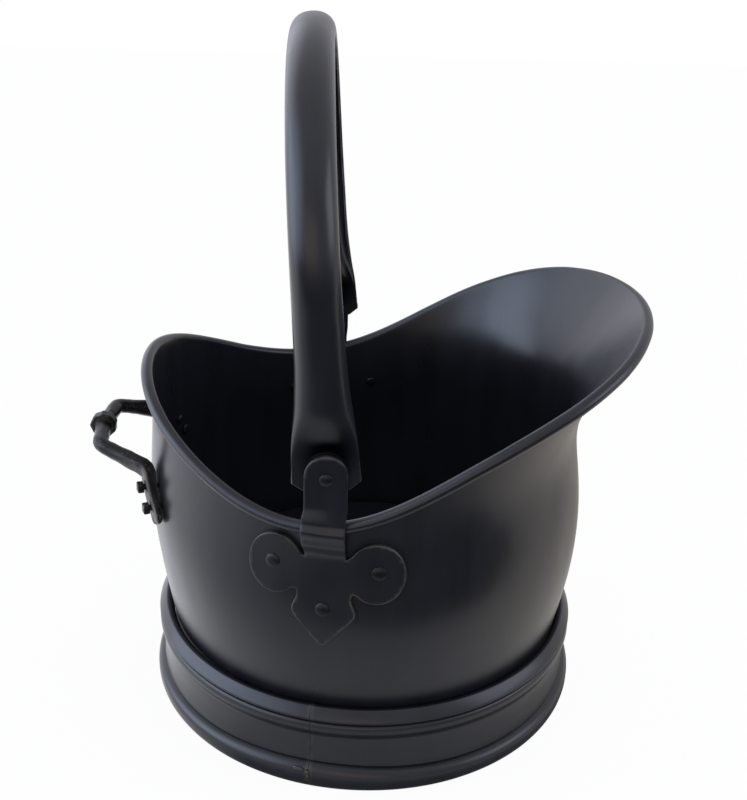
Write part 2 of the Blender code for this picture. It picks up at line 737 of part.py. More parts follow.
def make_bail(parent):
    half = bail_half_path()
    rings = [bail_ring(spot, outward) for spot, outward in half]
    other = []
    for ring in rings[:-1]:
        other.append([Vector((point.x, -point.y, point.z)) for point in ring])
    points, faces = loft(rings + other[::-1])
    bail = make_object("bail_handle", points, faces, SATIN_BLACK, parent)
    places = []
    for side in (-1, 1):
        places.append(axis_placement(Vector((0.0, side * strap_face(), 0.0)), Vector((0.0, side, 0.0))))
    drill(bail, places, PIVOT_SHANK_RADIUS + HOLE_GAP, DISH_RADIUS / 2)
    return bail


def fillet(before, corner, after, radius, steps):
    """Points of an arc of this radius that replaces a sharp corner."""
    first = (before - corner).normalized()
    second = (after - corner).normalized()
    half = first.angle(second) / 2
    length = radius / math.tan(half)
    middle = corner + (first + second).normalized() * (radius / math.sin(half))
    start = corner + first * length
    end = corner + second * length
    arc = []
    for step in range(steps + 1):
        spoke = (start - middle).slerp(end - middle, step / steps)
        arc.append(middle + spoke.normalized() * radius)
    return arc


def rear_pad_share(height):
    """How far up the pad this height lies, from 0 at its bottom to 1 at its top."""
    return (height - REAR_PAD_BOTTOM) / REAR_PAD_LENGTH


def rear_pad_half_depth(height):
    share = min(max(rear_pad_share(height), 0.0), 1.0)
    return REAR_PAD_HALF_DEPTH * (REAR_PAD_TAPER_SHARE + (1.0 - REAR_PAD_TAPER_SHARE) * share)


def rear_wall_spot(height):
    """Middle of the sheet behind the right-hand pad's centre line at this height, and its normal."""
    turn = (REAR_TOP_ANGLE - REAR_BOTTOM_ANGLE) * rear_pad_share(height)
    return wall_spot(REAR_BOTTOM_ANGLE + turn - math.pi, height)


def rear_pad_point(height):
    """Centre of the right-hand pad at this height, and the wall normal behind it."""
    spot, normal = rear_wall_spot(height)
    return spot + normal * (SHEET / 2 + GAP + rear_pad_half_depth(height)), normal


def rear_bar_x():
    return -FLOOR_RADIUS * evaluate(REACH_TERMS, math.pi) - REAR_REACH


def rear_half_path():
    """Centre line of the right half of the rear handle: place, wall normal behind it, half sizes, roundness."""
    bottom, _ = rear_pad_point(REAR_PAD_BOTTOM)
    top, _ = rear_pad_point(REAR_PAD_TOP)
    corner = Vector((rear_bar_x() + REAR_BOW, -REAR_HALF_SPAN, REAR_BAR_HEIGHT))
    centre = Vector((rear_bar_x(), 0.0, REAR_BAR_HEIGHT))
    path = []
    for drop, width in REAR_TIP_SHARES:
        spot, normal = rear_pad_point(REAR_PAD_BOTTOM - REAR_PAD_HALF_WIDTH * drop)
        depth = rear_pad_half_depth(REAR_PAD_BOTTOM)
        path.append((spot, normal, (REAR_PAD_HALF_WIDTH * width, depth * width), 0.0))
    for height in (REAR_PAD_BOTTOM, (REAR_PAD_BOTTOM + REAR_PAD_TOP) / 2):
        spot, normal = rear_pad_point(height)
        path.append((spot, normal, (REAR_PAD_HALF_WIDTH, rear_pad_half_depth(height)), 0.0))
    bends = fillet(bottom, top, corner, REAR_BEND_RADIUS, 3)
    bends += fillet(top, corner, centre, REAR_BEND_RADIUS, 4)
    low = REAR_PAD_TOP - REAR_BAR_RADIUS * REAR_FLAT_SHARES[0]
    high = REAR_PAD_TOP + REAR_BAR_RADIUS * REAR_FLAT_SHARES[1]
    for spot in bends:
        round_share = smooth_step(low, high, spot.z)
        pad = (REAR_PAD_HALF_WIDTH, rear_pad_half_depth(spot.z))
        sizes = tuple(size + (REAR_BAR_RADIUS - size) * round_share for size in pad)
        normal = rear_wall_spot(spot.z)[1] if spot.z < REAR_PAD_TOP else None
        path.append((spot, normal, sizes, round_share))
    for offset, crown in REAR_COLLAR_SHARES:
        size = REAR_BAR_RADIUS + (REAR_COLLAR_RADIUS - REAR_BAR_RADIUS) * crown
        place = centre - Vector((0.0, REAR_COLLAR_HALF_WIDTH * offset, 0.0))
        path.append((place, None, (size, size), 1.0))
    return path


def make_rear_handle(parent):
    path = rear_half_path()
    rings = []
    for index, (spot, normal, (width, depth), round_share) in enumerate(path):
        before = path[max(index - 1, 0)][0]
        after = path[min(index + 1, len(path) - 1)][0]
        along = (after - before).normalized()
        if normal:
            side_axis = normal.cross(along)
        side_axis = (side_axis - along * side_axis.dot(along)).normalized()
        depth_axis = along.cross(side_axis)
        power = REAR_PAD_POWER + (2.0 - REAR_PAD_POWER) * round_share
        ring = []
        for turn in turns(BAR_SIDES):
            across = math.cos(turn)
            out = math.sin(turn)
            full = (abs(across) ** power + abs(out) ** power) ** (-1.0 / power)
            ring.append(spot + side_axis * (width * across * full) + depth_axis * (depth * out * full))
        rings.append(ring)
    other = []
    for ring in rings[:-1]:
        other.append([Vector((point.x, -point.y, point.z)) for point in ring])
    points, faces = loft(rings + other[::-1])
    handle = make_object("rear_handle", points, faces, FORGED_BLACK, parent)
    places = [place for side in (-1, 1) for _, place in rear_bolt_places(side)]
    drill(handle, places, BOLT_SHANK_RADIUS + HOLE_GAP, REAR_PAD_HALF_DEPTH * 4)
    return handle


def rear_bolt_places(side):
    places = []
    for label, share in REAR_BOLT_SHARES:
        spot, normal = rear_wall_spot(REAR_PAD_BOTTOM + REAR_PAD_LENGTH * share)
        places.append((label, axis_placement(mirror_side(spot, side), mirror_side(normal, side))))
    return places


def make_rear_bolts(label, side, parent):
    """The grip reaches to where the upper edge of the head meets the tapered pad."""
    for spot, placement in rear_bolt_places(side):
        depth = rear_pad_half_depth(placement.translation.z + BOLT_HEAD_HALF)
        grip = (-SHEET / 2 - WALL_SAG, SHEET / 2 + GAP + depth * 2)
        head = (BOLT_HEAD_HALF, BOLT_HEAD_HEIGHT)
        tail = (BOLT_TAIL_RADIUS, BOLT_TAIL_HEIGHT)
        name = f"rear_bolt_{label}_{spot}"
        make_rivet(name, placement, grip, BOLT_SHANK_RADIUS, head, tail, FORGED_BLACK, parent, square=True)


def drill_body(body):
    rivets = [place for side in (-1, 1) for _, place in ear_rivet_places(side)]
    bolts = [place for side in (-1, 1) for _, place in rear_bolt_places(side)]
    drill(body, rivets, EAR_SHANK_RADIUS + HOLE_GAP, EAR_HEAD_RADIUS)
    drill(body, bolts, BOLT_SHANK_RADIUS + HOLE_GAP, BOLT_HEAD_HALF)


def main():
    clear_scene()
    back = rear_bar_x() - REAR_COLLAR_RADIUS
    front = rim_centre(0.0).x + CURL_RADIUS + SHEET / 2
    root = make_empty("bucket_origin", location=(-(front + back) / 2, 0.0, 0.0))
    hinge = make_empty("bail_hinge", root, pivot_centre())
    hinge.rotation_euler = (0.0, BAIL_LEAN, 0.0)
    body = make_body_shell(root)
    drill_body(body)
    make_rim_wire(root)
    make_floor_pan(root)
    make_foot_band(root)
    for label, side in (("right", -1), ("left", 1)):
        ear = make_ear(f"ear_{label}", side, root)
        rivets = [place for _, place in ear_rivet_places(side)]
        drill(ear, rivets, EAR_SHANK_RADIUS + HOLE_GAP, EAR_SHEET * 3)
        drill(ear, [pivot_placement(side)], PIVOT_SHANK_RADIUS + HOLE_GAP, EAR_SHEET * 3)
        make_ear_rivets(f"ear_{label}", side, root)
        make_pivot(label, side, root)
        make_rear_bolts(label, side, root)
    make_bail(hinge)
    make_rear_handle(root)


main()
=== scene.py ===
"""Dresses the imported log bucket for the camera: satin-black sheet steel, pressed bail, forged rear grip.

Metres, +Z up, spout towards +X. Each piece lies on the CAD node that it stands for.
"""

import math

import bmesh
import bpy
import numpy as np
from bpy.props import FloatProperty, FloatVectorProperty, IntProperty, PointerProperty
from mathutils import Matrix, Vector


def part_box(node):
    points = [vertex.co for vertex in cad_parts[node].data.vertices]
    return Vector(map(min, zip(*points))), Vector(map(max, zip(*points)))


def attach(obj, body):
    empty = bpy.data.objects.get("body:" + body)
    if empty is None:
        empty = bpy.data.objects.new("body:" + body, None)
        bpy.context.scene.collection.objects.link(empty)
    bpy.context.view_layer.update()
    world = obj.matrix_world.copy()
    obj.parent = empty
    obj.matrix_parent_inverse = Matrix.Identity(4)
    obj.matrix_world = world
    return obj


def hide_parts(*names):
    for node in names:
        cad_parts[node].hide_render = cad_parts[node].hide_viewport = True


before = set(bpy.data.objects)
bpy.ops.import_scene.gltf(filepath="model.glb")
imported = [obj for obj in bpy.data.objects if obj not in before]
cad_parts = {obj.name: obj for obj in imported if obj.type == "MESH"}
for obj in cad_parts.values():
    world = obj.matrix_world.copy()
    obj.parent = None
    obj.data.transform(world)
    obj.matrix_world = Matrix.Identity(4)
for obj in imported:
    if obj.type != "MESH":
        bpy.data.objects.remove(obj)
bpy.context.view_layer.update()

bl_info = {
    "name": "Log Bucket",
    "version": (1, 0, 0),
    "blender": (4, 5, 0),
    "location": "3D View > Sidebar > Log Bucket",
    "description": "Dresses the sheet-steel log bucket and sets up its studio",
    "category": "Object",
}

BAND_LOW, BAND_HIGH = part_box("foot_band")
# The upright axis of the round foot, which the wall's formula turns about.
AXIS_X = (BAND_LOW.x + BAND_HIGH.x) / 2
# Edges that turn by more than this are shaded sharp.
SHARP_FROM = math.radians(38)


# Settings

def length(name, description, default):
    return FloatProperty(
        name=name, description=description, default=default, unit="LENGTH", subtype="DISTANCE", precision=5)


def share(name, description, default):
    return FloatProperty(name=name, description=description, default=default, precision=4)


def angle(name, description, degrees):
    return FloatProperty(
        name=name, description=description, default=math.radians(degrees), unit="ROTATION", subtype="ANGLE")


def count(name, description, default):
    return IntProperty(name=name, description=description, default=default, min=3)


def colour(name, description, default, most=1.0):
    return FloatVectorProperty(
        name=name, description=description, default=default, size=3, subtype="COLOR", min=0.0, max=most)


def nine_shares(name, description, default):
    return FloatVectorProperty(name=name, description=description, default=default, size=9)


class LogBucketBody(bpy.types.PropertyGroup):
    """Sheet wall, rolled rim and floor."""

    floor_radius: length("Floor radius", "Radius of the wall at the floor", 0.1310)
    floor_height: length("Floor height", "Height of the floor above the hearth", 0.0500)
    sheet: length("Sheet", "Thickness of the body sheet", 0.0012)
    spout_height: length("Spout height", "Height of the rim at the spout", 0.2684)
    rim_reach: nine_shares(
        "Rim reach", "Rim radius as a share of the floor's, from the spout round to the back",
        (1.2954, 1.2863, 1.2374, 1.1099, 1.0443, 1.0366, 1.0580, 1.0885, 1.0863))
    rim_height: nine_shares(
        "Rim height", "Rim height as a share of the spout's, from the spout round to the back",
        (1.0, 0.9866, 0.9277, 0.8115, 0.6982, 0.6692, 0.7262, 0.8111, 0.8472))
    rim_lean: nine_shares(
        "Rim lean", "Outward lean of the wall under the rim in radians",
        (0.61, 0.60, 0.50, 0.25, 0.05, 0.0, -0.02, 0.01, 0.0))
    flare: nine_shares(
        "Flare", "Outward lean of the wall at the floor in radians",
        (0.229, 0.229, 0.229, 0.229, 0.229, 0.218, 0.206, 0.183, 0.183))
    lower_pull: share("Lower pull", "How far up the wall keeps its flare", 0.629)
    upper_pull: share("Upper pull", "How far down the wall keeps its lean", 0.447)
    foot_share: share("Foot", "Where the sheet starts, as a share of the floor height", 0.88)
    bend_share: share("Bend", "Where the flare starts, as a share of the floor height", 1.04)
    wire_radius: length("Rim wire", "Radius of the wire in the rim", 0.00215)
    wire_gap: length("Wire gap", "Room round the wire", 0.00035)
    slit_gap: length("Slit", "Gap between the curled edge and the wall", 0.0006)
    hand_rolled: length("Hand rolled", "How far the rim and wall wander from true", 0.00016)
    pan_corner: length("Pan corner", "Outside radius of the floor pan's corner", 0.0028)
    pan_flange: length("Pan flange", "Height of the floor pan's flange", 0.0016)
    around: count("Around", "Steps round the bucket", 264)


class LogBucketBand(bpy.types.PropertyGroup):
    """Moulded foot band."""

    standoff: length("Standoff", "Waist outside the floor radius", 0.0087)
    lip: length("Lip", "Width of the turned-in foot", 0.0032)
    sheet: length("Sheet", "Thickness of the band", 0.0012)
    bead_bulge: length("Lower bead", "How far the lower bead stands out", 0.0047)
    bead_height: length("Lower bead height", "Height of the lower bead", 0.0175)
    bead_crown: share("Crown", "Where the lower bead is fullest", 0.40)
    bead_foot: share("Foot", "How far the flat foot runs under the bead", 0.25)
    waist_dip: length("Waist dip", "Hollow of the waist", 0.0007)
    ridge_bulge: length("Ridge", "How far the small ridge stands out", 0.0019)
    ridge_radius: length("Ridge radius", "Half height of the small ridge", 0.0029)
    ridge_skirt: length("Ridge skirt", "How far the ridge runs out down the waist", 0.0078)
    upper_bulge: length("Upper bead", "How far the upper bead stands out", 0.0021)
    upper_gap: length("Bead gap", "Gap between the upper bead and the wall", 0.0009)
    upper_rise: share("Rise", "Upper bead's centre above the floor, as a share of its radius", 0.55)
    seam_angle: angle("Seam angle", "Where the band's butt seam stands", -104.3)
    seam_gap: length("Seam gap", "Open width of the butt seam", 0.00022)
    lap: length("Lap", "Width of the strip behind the seam", 0.0120)
    uneven: length("Uneven", "How far the rolled beads wander", 0.00022)
    crevice: length("Crevice", "Depth of the sharp grooves between the beads", 0.0016)
    roof: FloatVectorProperty(
        name="Roof", description="Where the upper bead's flattened face starts and ends, in degrees round the bead",
        default=(-12.0, 88.0), size=2)
    flatness: share("Flatness", "How flat that face is", 0.86)
    narrow: length("Narrowing", "How much lower the lower bead is away from the seam", 0.0036)
    narrow_run: angle("Narrowing run", "How far from the seam it narrows", 26.0)
    steps: count("Steps", "Steps round the band", 300)


class LogBucketEar(bpy.types.PropertyGroup):
    """Strap and lobed plate that carry the bail."""

    turn: angle("Ear angle", "Angle from the spout to the ear", 101.4)
    gap: length("Gap", "Gap between the plate and the wall", 0.0003)
    pivot_rise: length("Pivot rise", "Pivot above the rim's centre", 0.0347)
    sheet: length("Plate", "Thickness of the plate", 0.0030)
    strap_half: length("Strap half width", "Half width of the strap", 0.0120)
    strap_standoff: length("Strap standoff", "Strap outside the rim bead's middle", 0.0014)
    strap_top: length("Strap top", "Strap above the pivot", 0.0138)
    joggle_drop: length("Joggle drop", "Start of the joggle below the rim's centre", 0.0192)
    joggle_length: length("Joggle", "Length of the joggle", 0.0130)
    twist_rise: length("Twist rise", "Start of the twist above the rim's centre", 0.0072)
    twist_length: length("Twist", "Length of the twist", 0.0100)
    swell: length("Swell", "How far the strap swells outwards beside the rim bead", 0.0022)
    swell_half: length("Swell half length", "Half length of that swell", 0.0060)
    limit_drop: length("Limit drop", "Where the plate stops following the wall, below the rim", 0.0060)
    lobe_offset: length("Lobe offset", "Lobe's centre beside the strap", 0.0292)
    lobe_drop: length("Lobe drop", "Lobe's centre below the rim", 0.0270)
    lobe_half_width: length("Lobe half width", "Half width of a lobe", 0.0167)
    lobe_half_height: length("Lobe half height", "Half height of a lobe", 0.0186)
    notch: share("Notch", "Foot of the notch beside the strap, as a share of the lobe", 0.42)
    neck_half: length("Neck half width", "Half width of the neck", 0.0138)
    neck_drop: length("Neck drop", "Neck below the rim", 0.0440)
    shoulder_half: length("Shoulder half width", "Half width of the pointed foot", 0.0193)
    point_drop: length("Point drop", "Point below the rim", 0.0748)
    rivet_offset: length("Lobe rivet offset", "Lobe rivet beside the strap", 0.0308)
    rivet_drop: length("Lobe rivet drop", "Lobe rivet below the rim", 0.0262)
    point_rivet_drop: length("Point rivet drop", "Point rivet below the rim", 0.0507)
    edge_round: length("Edge round", "Rounding of the plate's edge", 0.0007)


class LogBucketFasteners(bpy.types.PropertyGroup):
    """Rivets, washers and square bolts."""

    gap: length("Gap", "Gap under each head", 0.0003)
    sag: length("Wall sag", "How far the model's facets fall inside the wall", 0.00024)
    ear_head: length("Ear rivet head", "Radius of an ear rivet's head", 0.0042)
    ear_head_height: length("Ear rivet head height", "Height of an ear rivet's head", 0.0010)
    ear_tail: length("Ear rivet tail", "Radius of an ear rivet's tail", 0.0036)
    ear_tail_height: length("Ear rivet tail height", "Height of an ear rivet's tail", 0.0014)
    ear_shank: length("Ear rivet shank", "Radius of an ear rivet's shank", 0.0020)
    pivot_head: length("Pivot head", "Radius of the pivot's head", 0.0037)
    pivot_head_height: length("Pivot head height", "Height of the pivot's head", 0.0012)
    pivot_tail: length("Pivot tail", "Radius of the pivot's tail", 0.0048)
    pivot_tail_height: length("Pivot tail height", "Height of the pivot's tail", 0.0020)
    pivot_shank: length("Pivot shank", "Radius of the pivot's shank", 0.0025)
    washer: length("Washer", "Radius of the washer", 0.0070)
    washer_sheet: length("Washer sheet", "Thickness of the washer", 0.0010)
    bolt_half: length("Bolt head", "Half width of a square head", 0.0028)
    bolt_height: length("Bolt head height", "Height of a square head", 0.0038)
    bolt_tail: length("Bolt tail", "Radius of a bolt's tail", 0.0034)
    bolt_tail_height: length("Bolt tail height", "Height of a bolt's tail", 0.0020)
    bolt_shank: length("Bolt shank", "Radius of a bolt's shank", 0.0020)


class LogBucketBail(bpy.types.PropertyGroup):
    """Pressed channel bail."""

    lean: angle("Lean", "Turn of the bail about its pivots", -3.38)
    sheet: length("Sheet", "Thickness of the bail", 0.0016)
    top: length("Top", "Top of the arch above the pivots", 0.22512)
    shoulder: length("Shoulder", "Start of the arch above the pivots", 0.1120)
    spread: length("Spread", "How far the legs spread", 0.01137)
    half_width: length("Half width", "Half width of the channel", 0.0127)
    crown: length("Crown", "Rise of the channel's crown", 0.0045)
    depth: length("Depth", "Depth of the channel", 0.0115)
    power: share("Fullness", "How square the channel is", 2.22)
    dish: length("Dish", "Radius of the flat round the pivot", 0.0165)
    dish_blend: length("Dish blend", "How far the flat runs out into the channel", 0.0260)
    # The bail's painted shade: a darker, sleeker patch in the dished pocket above each strap, where shadow falls.
    soot_inner: length("Shade inner", "Radius of the fully dark pocket", 0.0045)
    soot_outer: length("Shade outer", "Radius where the dark pocket ends", 0.0225)
    soot_shift: length("Shade shift", "How far the dark pocket lies to the spout's side", 0.0015)
    soot_rise: length("Shade rise", "How far the dark pocket lies above the pivot", 0.0150)
    stations: count("Stations", "Steps from end to end", 240)


class LogBucketGrip(bpy.types.PropertyGroup):
    """Forged rear grip."""

    top_turn: angle("Pad top angle", "Angle from the back to a pad's top", 17.5)
    bottom_turn: angle("Pad bottom angle", "Angle from the back to a pad's bottom", 24.6)
    bar: length("Bar", "Radius of the bar", 0.0052)
    half_span: length("Half span", "Half the distance between the arms", 0.0295)
    reach: length("Reach", "Bar behind the rim", 0.0322)
    bow: length("Bow", "How far the bar's ends lie nearer to the wall than its collar", 0.0030)
    height: length("Bar height", "Height of the bar", 0.1780)
    pad_drop: length("Pad drop", "Top of the pads below the bar", 0.0100)
    pad_length: length("Pad length", "Length of a pad", 0.0240)
    pad_half_width: length("Pad half width", "Half width of a pad", 0.0070)
    pad_half_depth: length("Pad half depth", "Half depth of a pad's top", 0.0044)
    pad_taper: share("Pad taper", "Depth of a pad's bottom as a share of its top's", 0.62)
    pad_power: share("Pad squareness", "How square a pad's section is, where 2 is an ellipse", 4.2)
    bend: length("Bend", "Radius of the bends", 0.0080)
    collar: length("Collar", "Radius of the collar", 0.0090)
    collar_half: length("Collar half width", "Half width of the collar", 0.0042)
    upper_bolt: share("Upper bolt", "Upper bolt along the pad", 0.64)
    lower_bolt: share("Lower bolt", "Lower bolt along the pad", 0.20)
    forged: length("Forging", "Depth of the hammer marks", 0.00034)


class LogBucketPaint(bpy.types.PropertyGroup):
    """Colours and gloss."""

    satin: colour("Satin black", "Paint of the sheet parts", (0.0080, 0.0085, 0.0118))
    satin_rubbed: colour("Rubbed satin", "Where the paint is thin", (0.055, 0.052, 0.050))
    satin_gloss: share("Satin roughness", "Roughness of the satin paint", 0.30)
    inner: colour("Inner black", "Paint of the floor pan", (0.0070, 0.0075, 0.0110))
    forged: colour("Forged black", "Scale on the forged grip", (0.0090, 0.0080, 0.0085))
    forged_bare: colour("Forged high spots", "Bare specks of the forged grip", (0.150, 0.132, 0.118))
    # Darker than the satin black: painted shade on the rivet heads, which also darkens the washers and the rim wire.
    rivet: colour("Rivet black", "Paint of the rivets", (0.0045, 0.0050, 0.0072))
    # Painted shade: the colour of the darkened pocket on the bail above each strap.
    pocket: colour("Dark pocket", "Paint over the straps on the bail", (0.0008, 0.0009, 0.0018))


class LogBucketStage(bpy.types.PropertyGroup):
    """Camera, floor and light."""

    lens: FloatProperty(name="Lens", description="Focal length in millimetres", default=56.213)
    place: FloatVectorProperty(
        name="Camera place", description="Where the camera stands", default=(-0.01563, -0.69469, 0.51292),
        size=3, subtype="TRANSLATION", precision=5)
    yaw: angle("Yaw", "Camera turned towards +X", 1.792)
    pitch: angle("Pitch", "Camera tipped down", 24.335)
    roll: angle("Roll", "Camera rolled", 1.7606)
    shift_x: share("Shift X", "Lens shift across", 0.00174)
    shift_y: share("Shift Y", "Lens shift up", 0.00013)
    room: colour("Room", "Light from behind and above", (0.68, 0.68, 0.74))
    back_left: colour("Back left", "Added light from behind on the left", (0.80, 0.84, 0.98))
    window: colour("Window", "Added light from the left", (1.55, 1.88, 2.50), most=4.0)
    dim: colour("Dim side", "Light from the camera's side", (0.46, 0.45, 0.52))
    front: colour("Low front", "Added warm light from low in front", (0.66, 0.50, 0.34))
    soft: colour("Soft light", "Even light that falls on every side", (0.86, 0.88, 0.93))
    floor_left: colour("Floor left", "Cool light that the floor throws back on the left", (0.93, 0.94, 1.0))
    floor_right: colour("Floor right", "Warm light that the floor throws back on the right", (1.0, 0.94, 0.86))


class LogBucketSettings(bpy.types.PropertyGroup):
    body: PointerProperty(type=LogBucketBody)
    band: PointerProperty(type=LogBucketBand)
    ear: PointerProperty(type=LogBucketEar)
    fasteners: PointerProperty(type=LogBucketFasteners)
    bail: PointerProperty(type=LogBucketBail)
    grip: PointerProperty(type=LogBucketGrip)
    paint: PointerProperty(type=LogBucketPaint)
    stage: PointerProperty(type=LogBucketStage)


# Curves and surfaces

def series(values):
    """Terms of the even smooth curve through equally spaced values from 0 to 180 degrees."""
    values = np.array(values)
    steps = len(values) - 1
    index = np.arange(steps + 1)
    weight = np.where((index == 0) | (index == steps), 0.5, 1.0)
    terms = 2.0 / steps * (np.cos(math.pi * np.outer(index, index) / steps) @ (weight * values))
    terms[[0, -1]] /= 2.0
    return terms


def read(terms, turn):
    return np.cos(np.asarray(turn, float)[..., None] * np.arange(len(terms))) @ terms


def unit(vectors):
    return vectors / np.linalg.norm(vectors, axis=-1, keepdims=True)


def level(turn):
    turn = np.asarray(turn, float)
    return np.stack((np.cos(turn), np.sin(turn), np.zeros_like(turn)), -1)


def upright(height):
    height = np.asarray(height, float)
    return np.stack((np.zeros_like(height), np.zeros_like(height), height), -1)


def smooth_step(low, high, value):
    way = np.clip((value - low) / (high - low), 0.0, 1.0)
    return way * way * (3.0 - 2.0 * way)


def smooth_line(places, values, wanted):
    """Reads a smooth curve through values, given at rising places, at the wanted places."""
    places = np.asarray(places, float)
    values = np.asarray(values, float).reshape(len(places), -1)
    step = np.diff(places)
    slope = np.diff(values, axis=0) / step[:, None]
    tangent = np.empty_like(values)
    tangent[0] = slope[0]
    tangent[-1] = slope[-1]
    tangent[1:-1] = (slope[:-1] * step[1:, None] + slope[1:] * step[:-1, None]) / (step[1:] + step[:-1])[:, None]
    wanted = np.asarray(wanted, float)
    index = np.clip(np.searchsorted(places, wanted, side="right") - 1, 0, len(step) - 1)
    size = step[index][:, None]
    way = (wanted - places[index])[:, None] / size
    first = values[index]
    last = values[index + 1]
    return (
        first * (2 * way**3 - 3 * way**2 + 1) + last * (3 * way**2 - 2 * way**3)
        + tangent[index] * size * (way**3 - 2 * way**2 + way) + tangent[index + 1] * size * (way**3 - way**2)
    )


# Waves round the bucket: how many there are, where they start and how high they are.
WAVES = ((5, 0.7, 0.45), (9, 2.1, 0.35), (14, 4.0, 0.28), (23, 1.1, 0.22), (37, 5.2, 0.14))


def wander(turn, mask):
    """A slow uneven wave round the bucket, about as high as the mask."""
    return sum(high * np.sin(waves * turn + start) for waves, start, high in WAVES) * mask


class WallShape:
    """The bucket's wall and rolled rim as formulas of the angle from the spout."""

    # How far the wandering rim is drawn in, as a share of how far it wanders, to stay within the true one.
    drawn_in = 1.8

    def __init__(self, settings):
        body = settings.body
        ear = settings.ear
        self.body = body
        self.ear = ear
        self.reach = series(body.rim_reach)
        self.height = series(body.rim_height)
        self.lean = series(body.rim_lean)
        self.flare = series(body.flare)
        self.curl_radius = body.wire_radius + body.wire_gap + body.sheet / 2
        self.curl_end = math.tau - math.acos(1.0 - (body.sheet + body.slit_gap) / self.curl_radius)
        self.step = math.radians(0.5)
        rim = self.rim_centre(ear.turn)
        self.rim_at_ear = rim[2]
        self.pivot = Vector((rim[0] + AXIS_X, 0.0, rim[2] + ear.pivot_rise))
        self.strap_face = rim[1] + self.curl_radius + body.sheet / 2 + ear.strap_standoff

    def true_zone(self, turn):
        """Zero where the ears and the rear grip seat, one elsewhere."""
        apart = np.abs((np.asarray(turn) + math.pi) % math.tau - math.pi)
        ears = smooth_step(math.radians(17), math.radians(30), np.abs(apart - self.ear.turn))
        return ears * smooth_step(math.radians(29), math.radians(42), math.pi - apart)

    def rim_centre(self, turn, loose=0.0):
        mask = self.true_zone(turn) * loose
        reach = self.body.floor_radius * read(self.reach, turn) + wander(turn, mask) - self.drawn_in * mask
        height = self.body.spout_height * read(self.height, turn) + wander(np.asarray(turn) * 2 + 1.3, mask) * 0.7
        return level(turn) * np.asarray(reach)[..., None] + upright(height)

    def rim_frame(self, turn, loose=0.0):
        turn = np.asarray(turn, float)
        along = unit(self.rim_centre(turn + self.step, loose) - self.rim_centre(turn - self.step, loose))
        lean = read(self.lean, turn)
        wall_up = level(turn) * np.sin(lean)[..., None] + upright(np.cos(lean))
        outward = unit(np.cross(along, wall_up))
        return self.rim_centre(turn, loose), outward, np.cross(outward, along)

    def wall_at(self, turn, way, loose=0.0):
        body = self.body
        centre, outward, _ = self.rim_frame(turn, loose)
        start = level(turn) * body.floor_radius + upright(body.floor_height * body.bend_share)
        end = centre - outward * self.curl_radius
        height = (end - start)[..., 2:]
        up = np.array((0.0, 0.0, 1.0))
        first = start + (level(turn) * np.tan(read(self.flare, turn))[..., None] + up) * height * body.lower_pull
        second = end - (level(turn) * np.tan(read(self.lean, turn))[..., None] + up) * height * body.upper_pull
        way = np.asarray(way, float)[..., None]
        rest = 1.0 - way
        return start * rest**3 + first * 3 * way * rest**2 + second * 3 * way**2 * rest + end * way**3

    def wall_spot(self, turn, height):
        """Middle of the sheet at angles and heights, and its outward normal."""
        turn, height = np.broadcast_arrays(np.asarray(turn, float), np.asarray(height, float))
        low = np.zeros(turn.shape)
        high = np.ones(turn.shape)
        for _ in range(26):
            middle = (low + high) / 2
            below = self.wall_at(turn, middle)[..., 2] < height
            low = np.where(below, middle, low)
            high = np.where(below, high, middle)
        way = np.clip((low + high) / 2, self.step, 1.0 - self.step)
        up = self.wall_at(turn, way + self.step) - self.wall_at(turn, way - self.step)
        along = self.wall_at(turn + self.step, way) - self.wall_at(turn - self.step, way)
        return self.wall_at(turn, way), unit(np.cross(along, up))

    def pivot_face(self, side):
        """Where the pivots' line meets the strap's inner face; side is -1 on the right and 1 on the left."""
        return np.array(self.pivot) + (0.0, side * self.strap_face, 0.0)

    def ear_point(self, across, height, depth):
        """Bends the flat ear plate over the right-hand wall, the rim bead and up the strap."""
        ear = self.ear
        limit = self.rim_at_ear - ear.limit_drop
        turn = across / (self.body.floor_radius * read(self.reach, ear.turn)) - ear.turn
        spot, normal = self.wall_spot(turn, np.minimum(height, limit))
        point = spot + normal * (self.body.sheet / 2 + ear.gap + depth)[:, None]
        point[:, 2] += np.maximum(height - limit, 0.0)
        start = self.rim_at_ear - ear.joggle_drop
        lift = (2 * self.curl_radius + ear.gap) * smooth_step(start, start + ear.joggle_length, height)
        lift += ear.swell * (1.0 - smooth_step(0.0, ear.swell_half, np.abs(height - self.rim_at_ear)))
        lift = np.where(np.abs(across) < (ear.strap_half + ear.neck_half) / 2, lift, 0.0)
        point += unit(normal * (1.0, 1.0, 0.0)) * lift[:, None]
        strap = np.stack((self.pivot.x - AXIS_X + across, -self.strap_face - depth, height), -1)
        twist = self.rim_at_ear + ear.twist_rise
        way = smooth_step(twist, twist + ear.twist_length, height)[:, None]
        return point * (1.0 - way) + strap * way


def skin(rows, columns, wrap_rows=True, wrap_columns=True):
    """Faces of a grid of points, with end caps where the rows don't wrap."""
    i = np.arange(rows if wrap_rows else rows - 1)[:, None]
    j = np.arange(columns if wrap_columns else columns - 1)[None, :]
    below = (i + 1) % rows * columns
    beside = (j + 1) % columns
    faces = np.stack((i * columns + j, i * columns + beside, below + beside, below + j), -1).reshape(-1, 4).tolist()
    if not wrap_rows:
        faces.append(list(range(columns)))
        faces.append(list(range((rows - 1) * columns, rows * columns)))
    return faces


